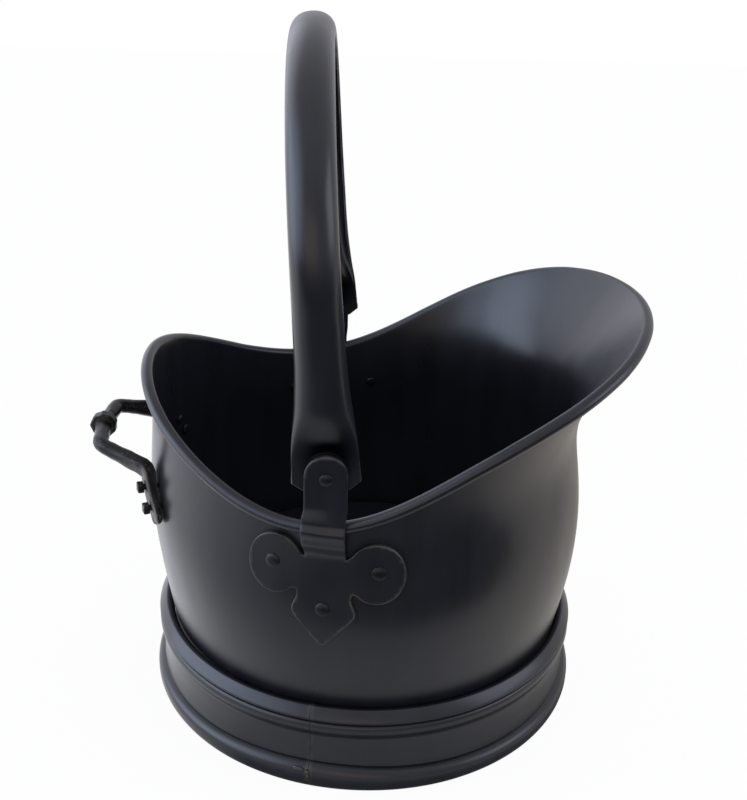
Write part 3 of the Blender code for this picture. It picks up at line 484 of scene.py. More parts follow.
def thick_rings(lines, sheet, caps=5):
    """Closed rings round sheet lines, with rounded edges, and how near each point is to an edge."""
    along = np.roll(lines, -1, 0) - np.roll(lines, 1, 0)
    after = np.concatenate((lines[:, 1:], lines[:, -1:]), 1)
    before = np.concatenate((lines[:, :1], lines[:, :-1]), 1)
    normal = unit(np.cross(along, after - before)) * sheet / 2
    turn = np.linspace(0.0, math.pi, caps + 2)[1:-1]
    last = unit(after[:, -1] - before[:, -1]) * sheet / 2
    first = unit(before[:, 0] - after[:, 0]) * sheet / 2
    end = lines[:, -1:] + normal[:, -1:] * np.cos(turn)[:, None] + last[:, None] * np.sin(turn)[:, None]
    start = lines[:, :1] - normal[:, :1] * np.cos(turn)[:, None] + first[:, None] * np.sin(turn)[:, None]
    rings = np.concatenate((lines + normal, end, (lines - normal)[:, ::-1], start), 1)
    width = lines.shape[1]
    edge = np.zeros(rings.shape[1])
    edge[width - 1:width + caps + 1] = 1.0
    return rings, np.tile(edge, lines.shape[0])


def both_sides(spot, normal):
    """A place on the right and its mirror image on the left, each with its direction."""
    return [(spot * mirror + (AXIS_X, 0.0, 0.0), normal * mirror) for mirror in ((1.0, 1.0, 1.0), (1.0, -1.0, 1.0))]


def new_object(name, data):
    obj = bpy.data.objects.new(name, data)
    bpy.context.scene.collection.objects.link(obj)
    return obj


def places_of(points):
    """Places of a mesh's points as an array."""
    return np.array([tuple(point.co) for point in points])


def set_values(mesh, name, values):
    """Gives each point of a mesh a number that the materials read."""
    mesh.attributes.new(name, "FLOAT", "POINT").data.foreach_set("value", np.asarray(values, np.float32))


def to_mesh(name, points, faces, edge=None):
    """A smooth-shaded mesh with its faces outwards."""
    mesh = bpy.data.meshes.new(name)
    points = np.array(points, float).reshape(-1, 3)
    mesh.from_pydata(points.tolist(), [], faces)
    mesh.calc_loop_triangles()
    corners = np.empty(len(mesh.loop_triangles) * 3, np.int32)
    mesh.loop_triangles.foreach_get("vertices", corners)
    a, b, c = (points[corners.reshape(-1, 3)[:, k]] for k in range(3))
    if (a * np.cross(b, c)).sum() < 0.0:
        mesh.flip_normals()
    if edge is not None:
        set_values(mesh, "rubbed_and_highlit_edge", edge)
    mesh.set_sharp_from_angle(angle=SHARP_FROM)
    return mesh


def make_piece(name, mesh, paint, slot, body, *nodes):
    """Shows a mesh as a piece of the dressed bucket, in place of CAD nodes."""
    mesh.name = name
    obj = new_object(name, mesh)
    mesh.materials.clear()
    mesh.materials.append(paint)
    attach(obj, body)
    if nodes:
        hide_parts(*nodes)
    return obj


def lumps(points, size, seed):
    """Smooth uneven values between about -1 and 1 at points, the same in every run."""
    total = np.zeros(len(points))
    chance = np.random.default_rng(seed)
    for octave in range(3):
        for _ in range(7):
            wave = chance.normal(size=3)
            wave *= math.tau / (size / 1.7**octave) / np.linalg.norm(wave)
            total += np.sin(points @ wave + chance.uniform(0.0, math.tau)) / 1.6**octave
    return total / 4.2


def spin_profile(profile, sides, square_rows=()):
    """Points and faces of a solid turned from (radius, height) pairs that start and end on the axis."""
    turn = np.arange(sides) * math.tau / sides
    round_one = np.stack((np.cos(turn), np.sin(turn)), -1)
    square_one = round_one / np.abs(round_one).max(1, keepdims=True)
    rows = [np.array([(0.0, 0.0, profile[0][1])])]
    for index, (radius, height) in enumerate(profile[1:-1], 1):
        outline = square_one if index in square_rows else round_one
        rows.append(np.column_stack((outline * radius, np.full(sides, height))))
    rows.append(np.array([(0.0, 0.0, profile[-1][1])]))
    points = np.concatenate(rows)
    faces = []
    last = len(points) - 1
    for j in range(sides):
        k = (j + 1) % sides
        faces.append((0, 1 + j, 1 + k))
        for row in range(len(profile) - 3):
            a = 1 + row * sides
            faces.append((a + j, a + sides + j, a + sides + k, a + k))
        faces.append((last - sides + j, last, last - sides + k))
    return points, faces


def arc(centre, radius, first, last, steps):
    """(radius, height) points of an arc between two angles in degrees."""
    turn = np.radians(np.linspace(first, last, steps))
    return list(zip(centre[0] + radius * np.cos(turn), centre[1] + radius * np.sin(turn)))


# Node trees

def add(tree, kind, inputs=None, **values):
    """Adds a node, sets its properties, and links or sets its inputs by name or index."""
    node = tree.nodes.new(kind)
    for key, value in values.items():
        setattr(node, key, value)
    for key, value in (inputs or {}).items():
        socket = node.inputs[key]
        if isinstance(value, bpy.types.NodeSocket):
            tree.links.new(value, socket)
        else:
            socket.default_value = value
    return node


def maths(tree, operation, *values):
    return add(tree, "ShaderNodeMath", dict(enumerate(values)), operation=operation).outputs[0]


def vector_maths(tree, operation, first, second, output="Vector"):
    """Works on two vectors, or scales the first by a number."""
    other = "Scale" if operation == "SCALE" else 1
    return add(tree, "ShaderNodeVectorMath", {0: first, other: second}, operation=operation).outputs[output]


def noise(tree, output=0, **inputs):
    return add(tree, "ShaderNodeTexNoise", inputs).outputs[output]


def ranged(tree, value, low, high, first=0.0, last=1.0, ends="LINEAR"):
    """Spreads a value between low and high over first to last."""
    return add(tree, "ShaderNodeMapRange", {
        "Value": value, "From Min": low, "From Max": high, "To Min": first, "To Max": last},
        interpolation_type=ends).outputs[0]


def faded(tree, value, low, high, first=0.0, last=1.0):
    """The same with soft ends."""
    return ranged(tree, value, low, high, first, last, "SMOOTHSTEP")


def between(tree, factor, first, second):
    """A value between two."""
    return add(tree, "ShaderNodeMix", {0: factor, 2: first, 3: second}, data_type="FLOAT").outputs[0]


def blended(tree, factor, first, second):
    """A colour between two, each a socket or three parts."""
    first, second = (end if isinstance(end, bpy.types.NodeSocket) else (*end, 1.0) for end in (first, second))
    return add(tree, "ShaderNodeMix", {0: factor, 6: first, 7: second}, data_type="RGBA").outputs[2]


def new_tree(name, kind, given, made):
    """A node group. Each socket is named with its default, or with its type where it has none."""
    tree = bpy.data.node_groups.new(name, kind)
    for way, sockets in (("INPUT", given), ("OUTPUT", made)):
        for title, value in sockets.items():
            typed = isinstance(value, str)
            socket_type = "NodeSocket" + (value if typed else type(value).__name__.capitalize())
            socket = tree.interface.new_socket(name=title, in_out=way, socket_type=socket_type)
            if not typed:
                socket.default_value = value
    return tree, add(tree, "NodeGroupInput").outputs, add(tree, "NodeGroupOutput").inputs


def node_group(name, make):
    """The node group of that name, built when it is first asked for."""
    return bpy.data.node_groups.get(name) or make(name)


def evaluated_mesh(obj):
    """The mesh that an object's modifiers make."""
    bpy.context.view_layer.update()
    graph = bpy.context.evaluated_depsgraph_get()
    return bpy.data.meshes.new_from_object(obj.evaluated_get(graph), preserve_all_data_layers=True, depsgraph=graph)


def run_tree(name, tree, mesh, values):
    """Runs a geometry node tree on a mesh and returns the finished mesh."""
    obj = new_object(name + "_source", mesh)
    modifier = obj.modifiers.new(name, "NODES")
    modifier.node_group = tree
    for item in tree.interface.items_tree:
        if item.in_out == "INPUT" and item.name in values:
            modifier[item.identifier] = values[item.name]
    result = evaluated_mesh(obj)
    bpy.data.objects.remove(obj)
    if not result.polygons:
        raise RuntimeError(f"the node tree of {name} made no faces")
    return result


def shifted(tree, geometry, scale, detail, directions, amount):
    """Moves a geometry's points a little by noise, along the directions that are kept."""
    centred = vector_maths(tree, "SUBTRACT", noise(tree, "Color", Scale=scale, Detail=detail), (0.5, 0.5, 0.5))
    offset = vector_maths(tree, "SCALE", vector_maths(tree, "MULTIPLY", centred, directions), amount)
    return add(tree, "GeometryNodeSetPosition", {"Geometry": geometry, "Offset": offset}).outputs[0]


def band_tree(name):
    """Sweeps the band's section round the foot, open at a butt seam."""
    tree, given, out = new_tree(name, "GeometryNodeTree", {
        "Section": "Geometry", "Radius": 0.14, "Seam Angle": 0.0, "Seam Gap": 0.003, "Steps": 300,
        "Uneven": 0.0002, "Paint": "Material"}, {"Band": "Geometry"})
    sweep = maths(tree, "SUBTRACT", math.tau, given["Seam Gap"])
    start = maths(tree, "ADD", given["Seam Angle"], maths(tree, "MULTIPLY", given["Seam Gap"], 0.5))
    ring = add(tree, "GeometryNodeCurveArc", {
        "Resolution": given["Steps"], "Radius": given["Radius"], "Start Angle": start, "Sweep Angle": sweep},
        mode="RADIUS")
    section = add(tree, "GeometryNodeMeshToCurve", {"Mesh": given["Section"]})
    swept = add(tree, "GeometryNodeCurveToMesh", {
        "Curve": ring.outputs["Curve"], "Profile Curve": section.outputs["Curve"], "Fill Caps": True})
    place = shifted(tree, swept.outputs["Mesh"], 22.0, 2.0, (1.0, 1.0, 0.0), given["Uneven"])
    smooth = add(tree, "GeometryNodeSetShadeSmooth", {"Geometry": place})
    real = add(tree, "GeometryNodeRealizeInstances", {"Geometry": smooth.outputs[0]})
    painted = add(tree, "GeometryNodeSetMaterial", {"Geometry": real.outputs[0], "Material": given["Paint"]})
    tree.links.new(painted.outputs[0], out[0])
    return tree


def fastener_tree(name):
    """Stands one fastener on each point, facing along the point's own direction."""
    tree, given, out = new_tree(name, "GeometryNodeTree", {
        "Places": "Geometry", "Fastener": "Object", "Turn": 0.1, "Uneven": 0.0001, "Seed": 4, "Paint": "Material"},
        {"Set": "Geometry"})
    facing, beside = (
        add(tree, "GeometryNodeInputNamedAttribute", {"Name": label}, data_type="FLOAT_VECTOR").outputs[0]
        for label in ("facing", "beside"))
    stood = add(tree, "FunctionNodeAlignRotationToVector", {"Vector": facing}, axis="Z")
    levelled = add(tree, "FunctionNodeAlignRotationToVector", {
        "Rotation": stood.outputs[0], "Vector": beside}, axis="X", pivot_axis="Z")
    least = maths(tree, "MULTIPLY", given["Turn"], -1.0)
    chance = add(tree, "FunctionNodeRandomValue", {
        2: least, 3: given["Turn"], "Seed": given["Seed"]}, data_type="FLOAT")
    spun = add(tree, "FunctionNodeAxisAngleToRotation", {"Axis": (0.0, 0.0, 1.0), "Angle": chance.outputs[1]})
    turned = add(tree, "FunctionNodeRotateRotation", {
        "Rotation": levelled.outputs[0], "Rotate By": spun.outputs[0]}, rotation_space="LOCAL")
    shape = add(tree, "GeometryNodeObjectInfo", {"Object": given["Fastener"], "As Instance": True})
    stand = add(tree, "GeometryNodeInstanceOnPoints", {
        "Points": given["Places"], "Instance": shape.outputs["Geometry"], "Rotation": turned.outputs[0]})
    real = add(tree, "GeometryNodeRealizeInstances", {"Geometry": stand.outputs[0]})
    place = shifted(tree, real.outputs[0], 260.0, 1.0, (1.0, 1.0, 1.0), given["Uneven"])
    painted = add(tree, "GeometryNodeSetMaterial", {"Geometry": place, "Material": given["Paint"]})
    tree.links.new(painted.outputs[0], out[0])
    return tree


def stand_fasteners(name, profile, places, paint, slot, nodes, turn=0.1, uneven=0.00012, sides=40, square_rows=()):
    """Turns one fastener and stands it at each (centre, direction) as one mesh."""
    points, faces = spin_profile(profile, sides, square_rows)
    pattern = new_object(name + "_pattern", to_mesh(name + "_pattern", points, faces))
    spots = bpy.data.meshes.new(name + "_places")
    spots.from_pydata([tuple(centre) for centre, _ in places], [], [])
    facing = np.array([tuple(direction) for _, direction in places], np.float32)
    beside = unit(np.cross((0.0, 0.0, 1.0), facing)).astype(np.float32)
    for label, vectors in (("facing", facing), ("beside", beside)):
        spots.attributes.new(label, "FLOAT_VECTOR", "POINT").data.foreach_set("vector", vectors.ravel())
    mesh = run_tree(name, node_group("Fastener set", fastener_tree), spots, {
        "Fastener": pattern, "Turn": turn, "Uneven": uneven, "Seed": 4, "Paint": paint})
    bpy.data.objects.remove(pattern)
    make_piece(name, mesh, paint, slot, "bucket", *nodes)


# Paint and scale

def mottle_group(name):
    """Cloudy unevenness of sprayed paint: a slow cloud, a fine grain and upright wipe marks."""
    tree, given, out = new_tree(
        name, "ShaderNodeTree", {"Cloud Scale": 30.0, "Grain Scale": 900.0, "Wipe Scale": 60.0},
        {"Cloud": "Float", "Grain": "Float", "Wipe": "Float"})
    where = add(tree, "ShaderNodeTexCoord").outputs["Object"]
    tall = add(tree, "ShaderNodeMapping", {"Vector": where, "Scale": (1.0, 1.0, 0.14)}).outputs[0]
    for title, value in (
            ("Cloud", noise(tree, Vector=where, Scale=given["Cloud Scale"], Detail=1.5, Roughness=0.5)),
            ("Grain", noise(tree, Vector=where, Scale=given["Grain Scale"], Detail=2.0)),
            ("Wipe", noise(tree, Vector=tall, Scale=given["Wipe Scale"], Detail=2.0, Distortion=0.12))):
        tree.links.new(ranged(tree, value, 0.22, 0.78), out[title])
    return tree


def rub_group(name):
    """Where paint is rubbed thin and lighter: along bare edges and in scattered specks. On the grip's corners and the
    weld the lighter colour is also a painted highlight.
    """
    tree, given, out = new_tree(
        name, "ShaderNodeTree", {"Edge Amount": 0.7, "Speck Scale": 240.0, "Speck Amount": 0.02}, {"Rub": "Float"})
    edge = add(tree, "ShaderNodeAttribute", attribute_name="rubbed_and_highlit_edge").outputs["Fac"]
    where = add(tree, "ShaderNodeTexCoord").outputs["Object"]
    patchy = ranged(tree, noise(tree, Vector=where, Scale=70.0, Detail=3.0), 0.35, 0.6)
    worn_and_highlit = maths(tree, "MULTIPLY", maths(tree, "MULTIPLY", edge, patchy), given["Edge Amount"])
    speck = add(tree, "ShaderNodeTexVoronoi", {
        "Vector": where, "Scale": given["Speck Scale"], "Randomness": 1.0}).outputs
    dot = ranged(tree, speck["Distance"], 0.10, 0.04)
    rare = maths(tree, "LESS_THAN", speck["Color"], given["Speck Amount"])
    tree.links.new(maths(tree, "MAXIMUM", worn_and_highlit, maths(tree, "MULTIPLY", dot, rare)), out["Rub"])
    return tree


def forge_group(name):
    """Hammered scale: broad dents, a rough grain and bare high spots."""
    tree, given, out = new_tree(
        name, "ShaderNodeTree", {"Dent Scale": 160.0, "Grain Scale": 900.0},
        {"Height": "Float", "High Spots": "Float"})
    where = add(tree, "ShaderNodeTexCoord").outputs["Object"]
    dents = noise(tree, Vector=where, Scale=given["Dent Scale"], Detail=2.0)
    grain = noise(tree, Vector=where, Scale=given["Grain Scale"], Detail=5.0, Roughness=0.65)
    raised = maths(tree, "MULTIPLY_ADD", dents, 0.35, grain)
    tree.links.new(maths(tree, "MULTIPLY_ADD", grain, 0.35, dents), out["Height"])
    tree.links.new(ranged(tree, raised, 0.76, 0.94), out["High Spots"])
    return tree


def place_group(tree, name, make, inputs):
    """Places a node group in a material and gives its outputs."""
    return add(tree, "ShaderNodeGroup", inputs, node_tree=node_group(name, make)).outputs


def once(make):
    """Gives back the material of the name asked for, or makes it where there is none."""
    def made(name, *values, **named):
        return bpy.data.materials.get(name) or make(name, *values, **named)
    return made


def start_material(name, constants):
    """A new material, its node tree and its shader's inputs."""
    material = bpy.data.materials.new(name)
    material.use_nodes = True
    shader = material.node_tree.nodes["Principled BSDF"].inputs
    for title, value in constants.items():
        shader[title].default_value = value
    return material, material.node_tree, shader


def feed(tree, shader, base, rough, height, strength, distance):
    """Links a colour, a roughness and a relief of this height to the shader."""
    relief = add(tree, "ShaderNodeBump", {"Strength": strength, "Distance": distance, "Height": height})
    for title, socket in (("Base Color", base), ("Roughness", rough), ("Normal", relief.outputs[0])):
        tree.links.new(socket, shader[title])


@once
def paint_material(name, base, rubbed, gloss, mottle=(34.0, 1100.0, 70.0), rub=(0.8, 240.0, 0.015), specular=0.5):
    """Sprayed black paint: clouded gloss, faint wipe marks, fine grain and rubbed edges.

    mottle and rub hold what goes into the inputs of the groups Paint mottle and Edge rub, in their order.
    """
    wiped_lighter, sleeker, duller, grain_share = 1.5, 0.055, 0.040, 0.07
    material, tree, shader = start_material(name, {"Specular IOR Level": specular})
    mottled = place_group(tree, "Paint mottle", mottle_group, dict(enumerate(mottle)))
    rubbing = place_group(tree, "Edge rub", rub_group, dict(enumerate(rub)))
    tone = blended(tree, mottled["Wipe"], base, [min(part * wiped_lighter, 1.0) for part in base])
    wiped = maths(tree, "ADD", mottled["Cloud"], mottled["Wipe"])
    rough = ranged(tree, wiped, 0.0, 2.0, gloss - sleeker, gloss + duller)
    height = maths(tree, "ADD", mottled["Cloud"], maths(tree, "MULTIPLY", mottled["Grain"], grain_share))
    feed(tree, shader, blended(tree, rubbing["Rub"], tone, rubbed), rough, height, 0.6, 0.00011)
    return material


@once
def forged_material(name, paint):
    """Blackened forged iron with bare high spots."""
    material, tree, shader = start_material(name, {"Metallic": 0.10, "Specular IOR Level": 0.30})
    scale = place_group(tree, "Forge scale", forge_group, {"Dent Scale": 170.0, "Grain Scale": 950.0})
    rubbing = place_group(tree, "Edge rub", rub_group, {
        "Edge Amount": 0.9, "Speck Scale": 500.0, "Speck Amount": 0.03})
    # Bare high spots of the scale and the lighter pad corners; on the corners this is also a painted highlight.
    bare = maths(tree, "MAXIMUM", scale["High Spots"], rubbing["Rub"])
    rough = ranged(tree, scale["Height"], 0.0, 1.0, 0.54, 0.26)
    feed(tree, shader, blended(tree, bare, paint.forged, paint.forged_bare), rough, scale["Height"], 0.8, 0.0004)
    return material


def satin_paint(paint, name="Satin black paint", specular=0.5):
    return paint_material(name, paint.satin, paint.satin_rubbed, paint.satin_gloss, specular=specular)


@once
def pocket_paint(name, paint):
    """Satin paint with painted shade: darker and sleeker in the bail's pockets over the straps."""
    material = satin_paint(paint, name)
    tree = material.node_tree
    shader = tree.nodes["Principled BSDF"].inputs
    pocket = add(tree, "ShaderNodeAttribute", attribute_name="pocket").outputs["Fac"]
    for title, mix, dark in (("Base Color", blended, paint.pocket), ("Roughness", between, 0.10)):
        tree.links.new(mix(tree, pocket, shader[title].links[0].from_socket, dark), shader[title])
    return material


def inner_paint(paint):
    return paint_material(
        "Inner black paint", paint.inner, paint.satin_rubbed, 0.52,
        mottle=(24.0, 700.0, 40.0), rub=(0.5, 120.0, 0.05), specular=0.24)


# This black, darker than the satin paint, is painted shade on the rivet heads.
def rivet_paint(paint):
    return paint_material(
        "Rivet black paint", paint.rivet, paint.satin_rubbed, 0.32,
        mottle=(240.0, 2200.0, 300.0), rub=(0.6, 500.0, 0.06), specular=0.32)


# Operators

class LogBucketPiece:
    """What every piece's operator shares."""

    bl_options = {"REGISTER", "UNDO"}

    def execute(self, context):
        settings = context.scene.log_bucket
        self.make(settings, WallShape(settings))
        return {"FINISHED"}


class LOGBUCKET_OT_body(LogBucketPiece, bpy.types.Operator):
    """Make the sheet wall with its rolled rim"""

    bl_idname = "log_bucket.body"
    bl_label = "Sheet body"

    def make(self, settings, shape):
        body = settings.body
        turn = np.arange(body.around)[:, None] * math.tau / body.around
        foot = np.linspace(body.foot_share, body.bend_share, 4)[:-1] * body.floor_height
        lower = level(turn) * body.floor_radius + upright(foot + 0.0 * turn)
        way = np.linspace(0.0, 1.0, 49)[:-1]
        wall = shape.wall_at(turn, way, body.hand_rolled)
        centre, outward, upward = shape.rim_frame(turn, body.hand_rolled)
        curl = np.linspace(0.0, shape.curl_end, 34)[:, None]
        roll = centre + shape.curl_radius * (upward * np.sin(curl) - outward * np.cos(curl))
        lines = np.concatenate((lower, wall, roll), 1)
        spots = wall.reshape(-1, 3)
        turns = np.repeat(turn, len(way), 1).ravel()
        dent_size, dent_depth, seed = 0.055, 0.00010, 3
        swell = lumps(spots, dent_size, seed) * dent_depth * shape.true_zone(turns)
        fade = np.tile(np.sin(way * math.pi), body.around)
        uneven = spots + level(turns) * (swell * fade)[:, None]
        lines[:, len(foot):len(foot) + len(way)] = uneven.reshape(wall.shape)
        rings, edge = thick_rings(lines, body.sheet)
        rings[..., 0] += AXIS_X
        mesh = to_mesh("bucket_body", rings, skin(rings.shape[0], rings.shape[1]), edge)
        make_piece("bucket_body", mesh, satin_paint(settings.paint), "satin_black", "bucket", "body_shell")


class LOGBUCKET_OT_floor(LogBucketPiece, bpy.types.Operator):
    """Make the floor pan and finish the hidden rim wire"""

    bl_idname = "log_bucket.floor"
    bl_label = "Floor pan"

    def make(self, settings, shape):
        body = settings.body
        gap = settings.fasteners.gap
        outer = body.floor_radius - body.sheet / 2 - gap
        flat = outer - body.pan_corner
        top = body.floor_height + body.sheet / 2
        foot = top - body.pan_corner - body.pan_flange
        inside = body.pan_corner - body.sheet
        profile = [(0.0, top)] + [(flat * way, top) for way in np.linspace(0.06, 1.0, 24)]
        profile += arc((flat, top - body.pan_corner), body.pan_corner, 78, 0, 8)
        profile += [(outer, foot), (outer - body.sheet, foot)]
        profile += arc((flat, top - body.pan_corner), inside, 0, 90, 6)
        profile += [(flat * way, top - body.sheet) for way in np.linspace(0.96, 0.06, 20)] + [(0.0, top - body.sheet)]
        points, faces = spin_profile(profile, 180)
        reach = np.linalg.norm(points[:, :2], axis=1)
        dent_size, dent_depth, seed = 0.07, 0.0005, 8
        dents = (0.5 + 0.5 * lumps(points, dent_size, seed)) * dent_depth
        points[:, 2] -= dents * np.clip(1.0 - (reach / flat) ** 4, 0.0, 1.0)
        points[:, 0] += AXIS_X
        mesh = to_mesh("floor_plate", points, faces)
        make_piece("floor_plate", mesh, inner_paint(settings.paint), "inner_black", "bucket", "floor_pan")
        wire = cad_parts["rim_wire"]
        wire.data.materials.clear()
        wire.data.materials.append(rivet_paint(settings.paint))


class LOGBUCKET_OT_band(LogBucketPiece, bpy.types.Operator):
    """Sweep the moulded foot band and lay its weld"""

    bl_idname = "log_bucket.band"
    bl_label = "Foot band"

    def section(self, band, body):
        """(radius, height) outer line of the band, from the turned-in foot to the top bead's inner edge."""
        waist = body.floor_radius + band.standoff
        half = band.sheet / 2
        middle = band.bead_height * band.bead_crown
        foot = band.bead_bulge * band.bead_foot
        line = [(waist - band.lip, 0.0), (waist - band.lip / 2, 0.0), (waist, 0.0), (waist + foot * 0.7, 0.0)]
        for turn in np.radians(np.linspace(6, 90, 13)):
            line.append((
                waist + foot + (band.bead_bulge - foot) * math.sin(turn) + half * math.sin(turn),
                middle - middle * math.cos(turn)))
        for climb in np.linspace(0.08, 0.98, 12):
            line.append((
                waist + half + band.bead_bulge * (1.0 - climb**3.4) - band.crevice * smooth_step(0.84, 0.96, climb),
                middle + (band.bead_height - middle) * climb))
        inner = body.floor_radius + band.sheet + band.upper_gap
        end = math.radians(165)
        radius = (waist + band.upper_bulge - inner) / (1.0 - math.cos(end))
        centre = waist + band.upper_bulge - radius
        top = body.floor_height + radius * band.upper_rise
        ridge = top - radius - band.ridge_radius * 1.30
        low = band.bead_height + band.crevice * 0.5
        high = ridge - band.ridge_skirt
        for climb in np.linspace(0.02, 0.94, 9):
            line.append((waist + half - band.waist_dip * smooth_step(0.0, 0.5, climb), low + (high - low) * climb))
        for drop in np.linspace(1.0, 0.08, 12):
            swell = (band.ridge_bulge + band.waist_dip) * (0.5 + 0.5 * math.cos(math.pi * drop)) - band.waist_dip
            line.append((waist + half + swell, ridge - band.ridge_skirt * drop))
        for turn in np.radians(np.linspace(0, 78, 7)):
            line.append((
                waist + half + band.ridge_bulge * math.cos(turn),
                ridge + band.ridge_radius * 1.3 * math.sin(turn)))
        line.append((waist + half - band.crevice * 0.6, (ridge + band.ridge_radius * 1.3 + top - radius * 0.883) / 2))
        low, high = (np.array((math.cos(turn), math.sin(turn))) for turn in np.radians(band.roof))
        for turn in np.linspace(math.radians(-56), end, 40):
            spot = np.array((math.cos(turn), math.sin(turn)))
            along = np.clip((math.degrees(turn) - band.roof[0]) / (band.roof[1] - band.roof[0]), 0.0, 1.0)
            spot += (low + (high - low) * along - spot) * band.flatness * (0.0 < along < 1.0)
            line.append(tuple(np.array((centre, top)) + (radius + half) * spot))
        return np.array(line)

    def make(self, settings, shape):
        band = settings.band
        body = settings.body
        line = self.section(band, body)
        behind = self.inset(line, band.sheet * 1.05)
        middle = body.floor_radius + band.standoff
        around = math.tau - band.lap / middle
        made = self.sweep(settings, "foot_band_sheet", line, band.seam_angle, band.seam_gap / middle, band.steps)
        make_piece("foot_band_sheet", made, satin_paint(settings.paint), "satin_black", "bucket", "foot_band")
        made = self.sweep(settings, "foot_band_lap", behind, band.seam_angle - math.pi, around, 9)
        make_piece("foot_band_lap", made, satin_paint(settings.paint), "satin_black", "bucket")
        self.weld(settings, middle)

    def inset(self, line, depth):
        along = unit(np.gradient(line, axis=0))
        return line + np.column_stack((-along[:, 1], along[:, 0])) * depth

    def sweep(self, settings, name, line, seam_angle, seam_gap, steps):
        """Sweeps a sheet with this outer line round the foot, open for seam_gap at seam_angle."""
        band = settings.band
        both = np.concatenate((line, self.inset(line, band.sheet)[::-1]))
        both[:, 1] = np.maximum(both[:, 1], 0.0)
        middle = settings.body.floor_radius + band.standoff
        profile = bpy.data.meshes.new(name + "_section")
        rows = len(both)
        profile.from_pydata([(r - middle, -z, 0.0) for r, z in both], [(j, (j + 1) % rows) for j in range(rows)], [])
        mesh = run_tree(name, node_group("Foot band sweep", band_tree), profile, {
            "Radius": middle, "Seam Angle": seam_angle, "Seam Gap": seam_gap,
            "Steps": steps, "Uneven": band.uneven, "Paint": satin_paint(settings.paint)})
        points = places_of(mesh.vertices)
        if points[:, 2].max() < settings.body.floor_height / 2:
            raise RuntimeError("the foot band was swept upside down")
        beside = np.abs((np.arctan2(points[:, 1], points[:, 0]) - band.seam_angle + math.pi) % math.tau - math.pi)
        ends = beside < math.radians(0.4)
        lowered = band.narrow * (1.0 - np.exp(-(beside / band.narrow_run) ** 2))
        # The lowering grows up to the bead's top and has run out this many bead heights up.
        run_out = 1.7
        climb = points[:, 2] / band.bead_height
        above = np.clip((run_out - climb) / (run_out - 1.0), 0.0, 1.0)
        points[:, 2] -= lowered * np.where(climb < 1.0, climb, above)
        points[:, 0] += AXIS_X
        faces = [tuple(face.vertices) for face in mesh.polygons]
        bpy.data.meshes.remove(mesh)
        return to_mesh(name, points, faces, ends.astype(float))

    # Each lump's distance beside the seam, its height and its distance outside the waist, then its half sizes
    # outwards, along the band and upwards.
    weld_lumps = (
        (0.0, 0.0092, 0.0058, 0.0013, 0.0012, 0.0026), (0.0003, 0.0126, 0.0053, 0.0013, 0.0013, 0.0018),
        (0.0062, 0.0134, 0.0045, 0.0013, 0.0036, 0.0017))

    def weld(self, settings, middle):
        """Three small lumps of weld where the seam crosses the lower bead."""
        work = bmesh.new()
        for step, (shift, height, out, thick, long, high) in enumerate(self.weld_lumps):
            turn = settings.band.seam_angle - shift / middle
            centre = level(turn) * (middle + out) + (AXIS_X, 0.0, height)
            ball = bmesh.ops.create_icosphere(work, subdivisions=4, radius=1.0)["verts"]
            points = places_of(ball)
            grown = points * (1.0 + 0.16 * lumps(points, 2.0, 20 + step))[:, None]
            placed = centre + np.outer(grown[:, 0], level(turn)) * thick
            placed += np.outer(grown[:, 1], level(turn + math.pi / 2)) * long + upright(grown[:, 2]) * high
            for vert, place in zip(ball, placed):
                vert.co = place
        mesh = bpy.data.meshes.new("foot_band_weld")
        work.to_mesh(mesh)
        work.free()
        mesh.shade_smooth()
        # The weld gets the lighter rubbed colour, as rubbed paint and as a painted highlight on its lumps.
        set_values(mesh, "rubbed_and_highlit_edge", np.full(len(mesh.vertices), 0.6))
        make_piece("foot_band_weld", mesh, satin_paint(settings.paint), "satin_black", "bucket")


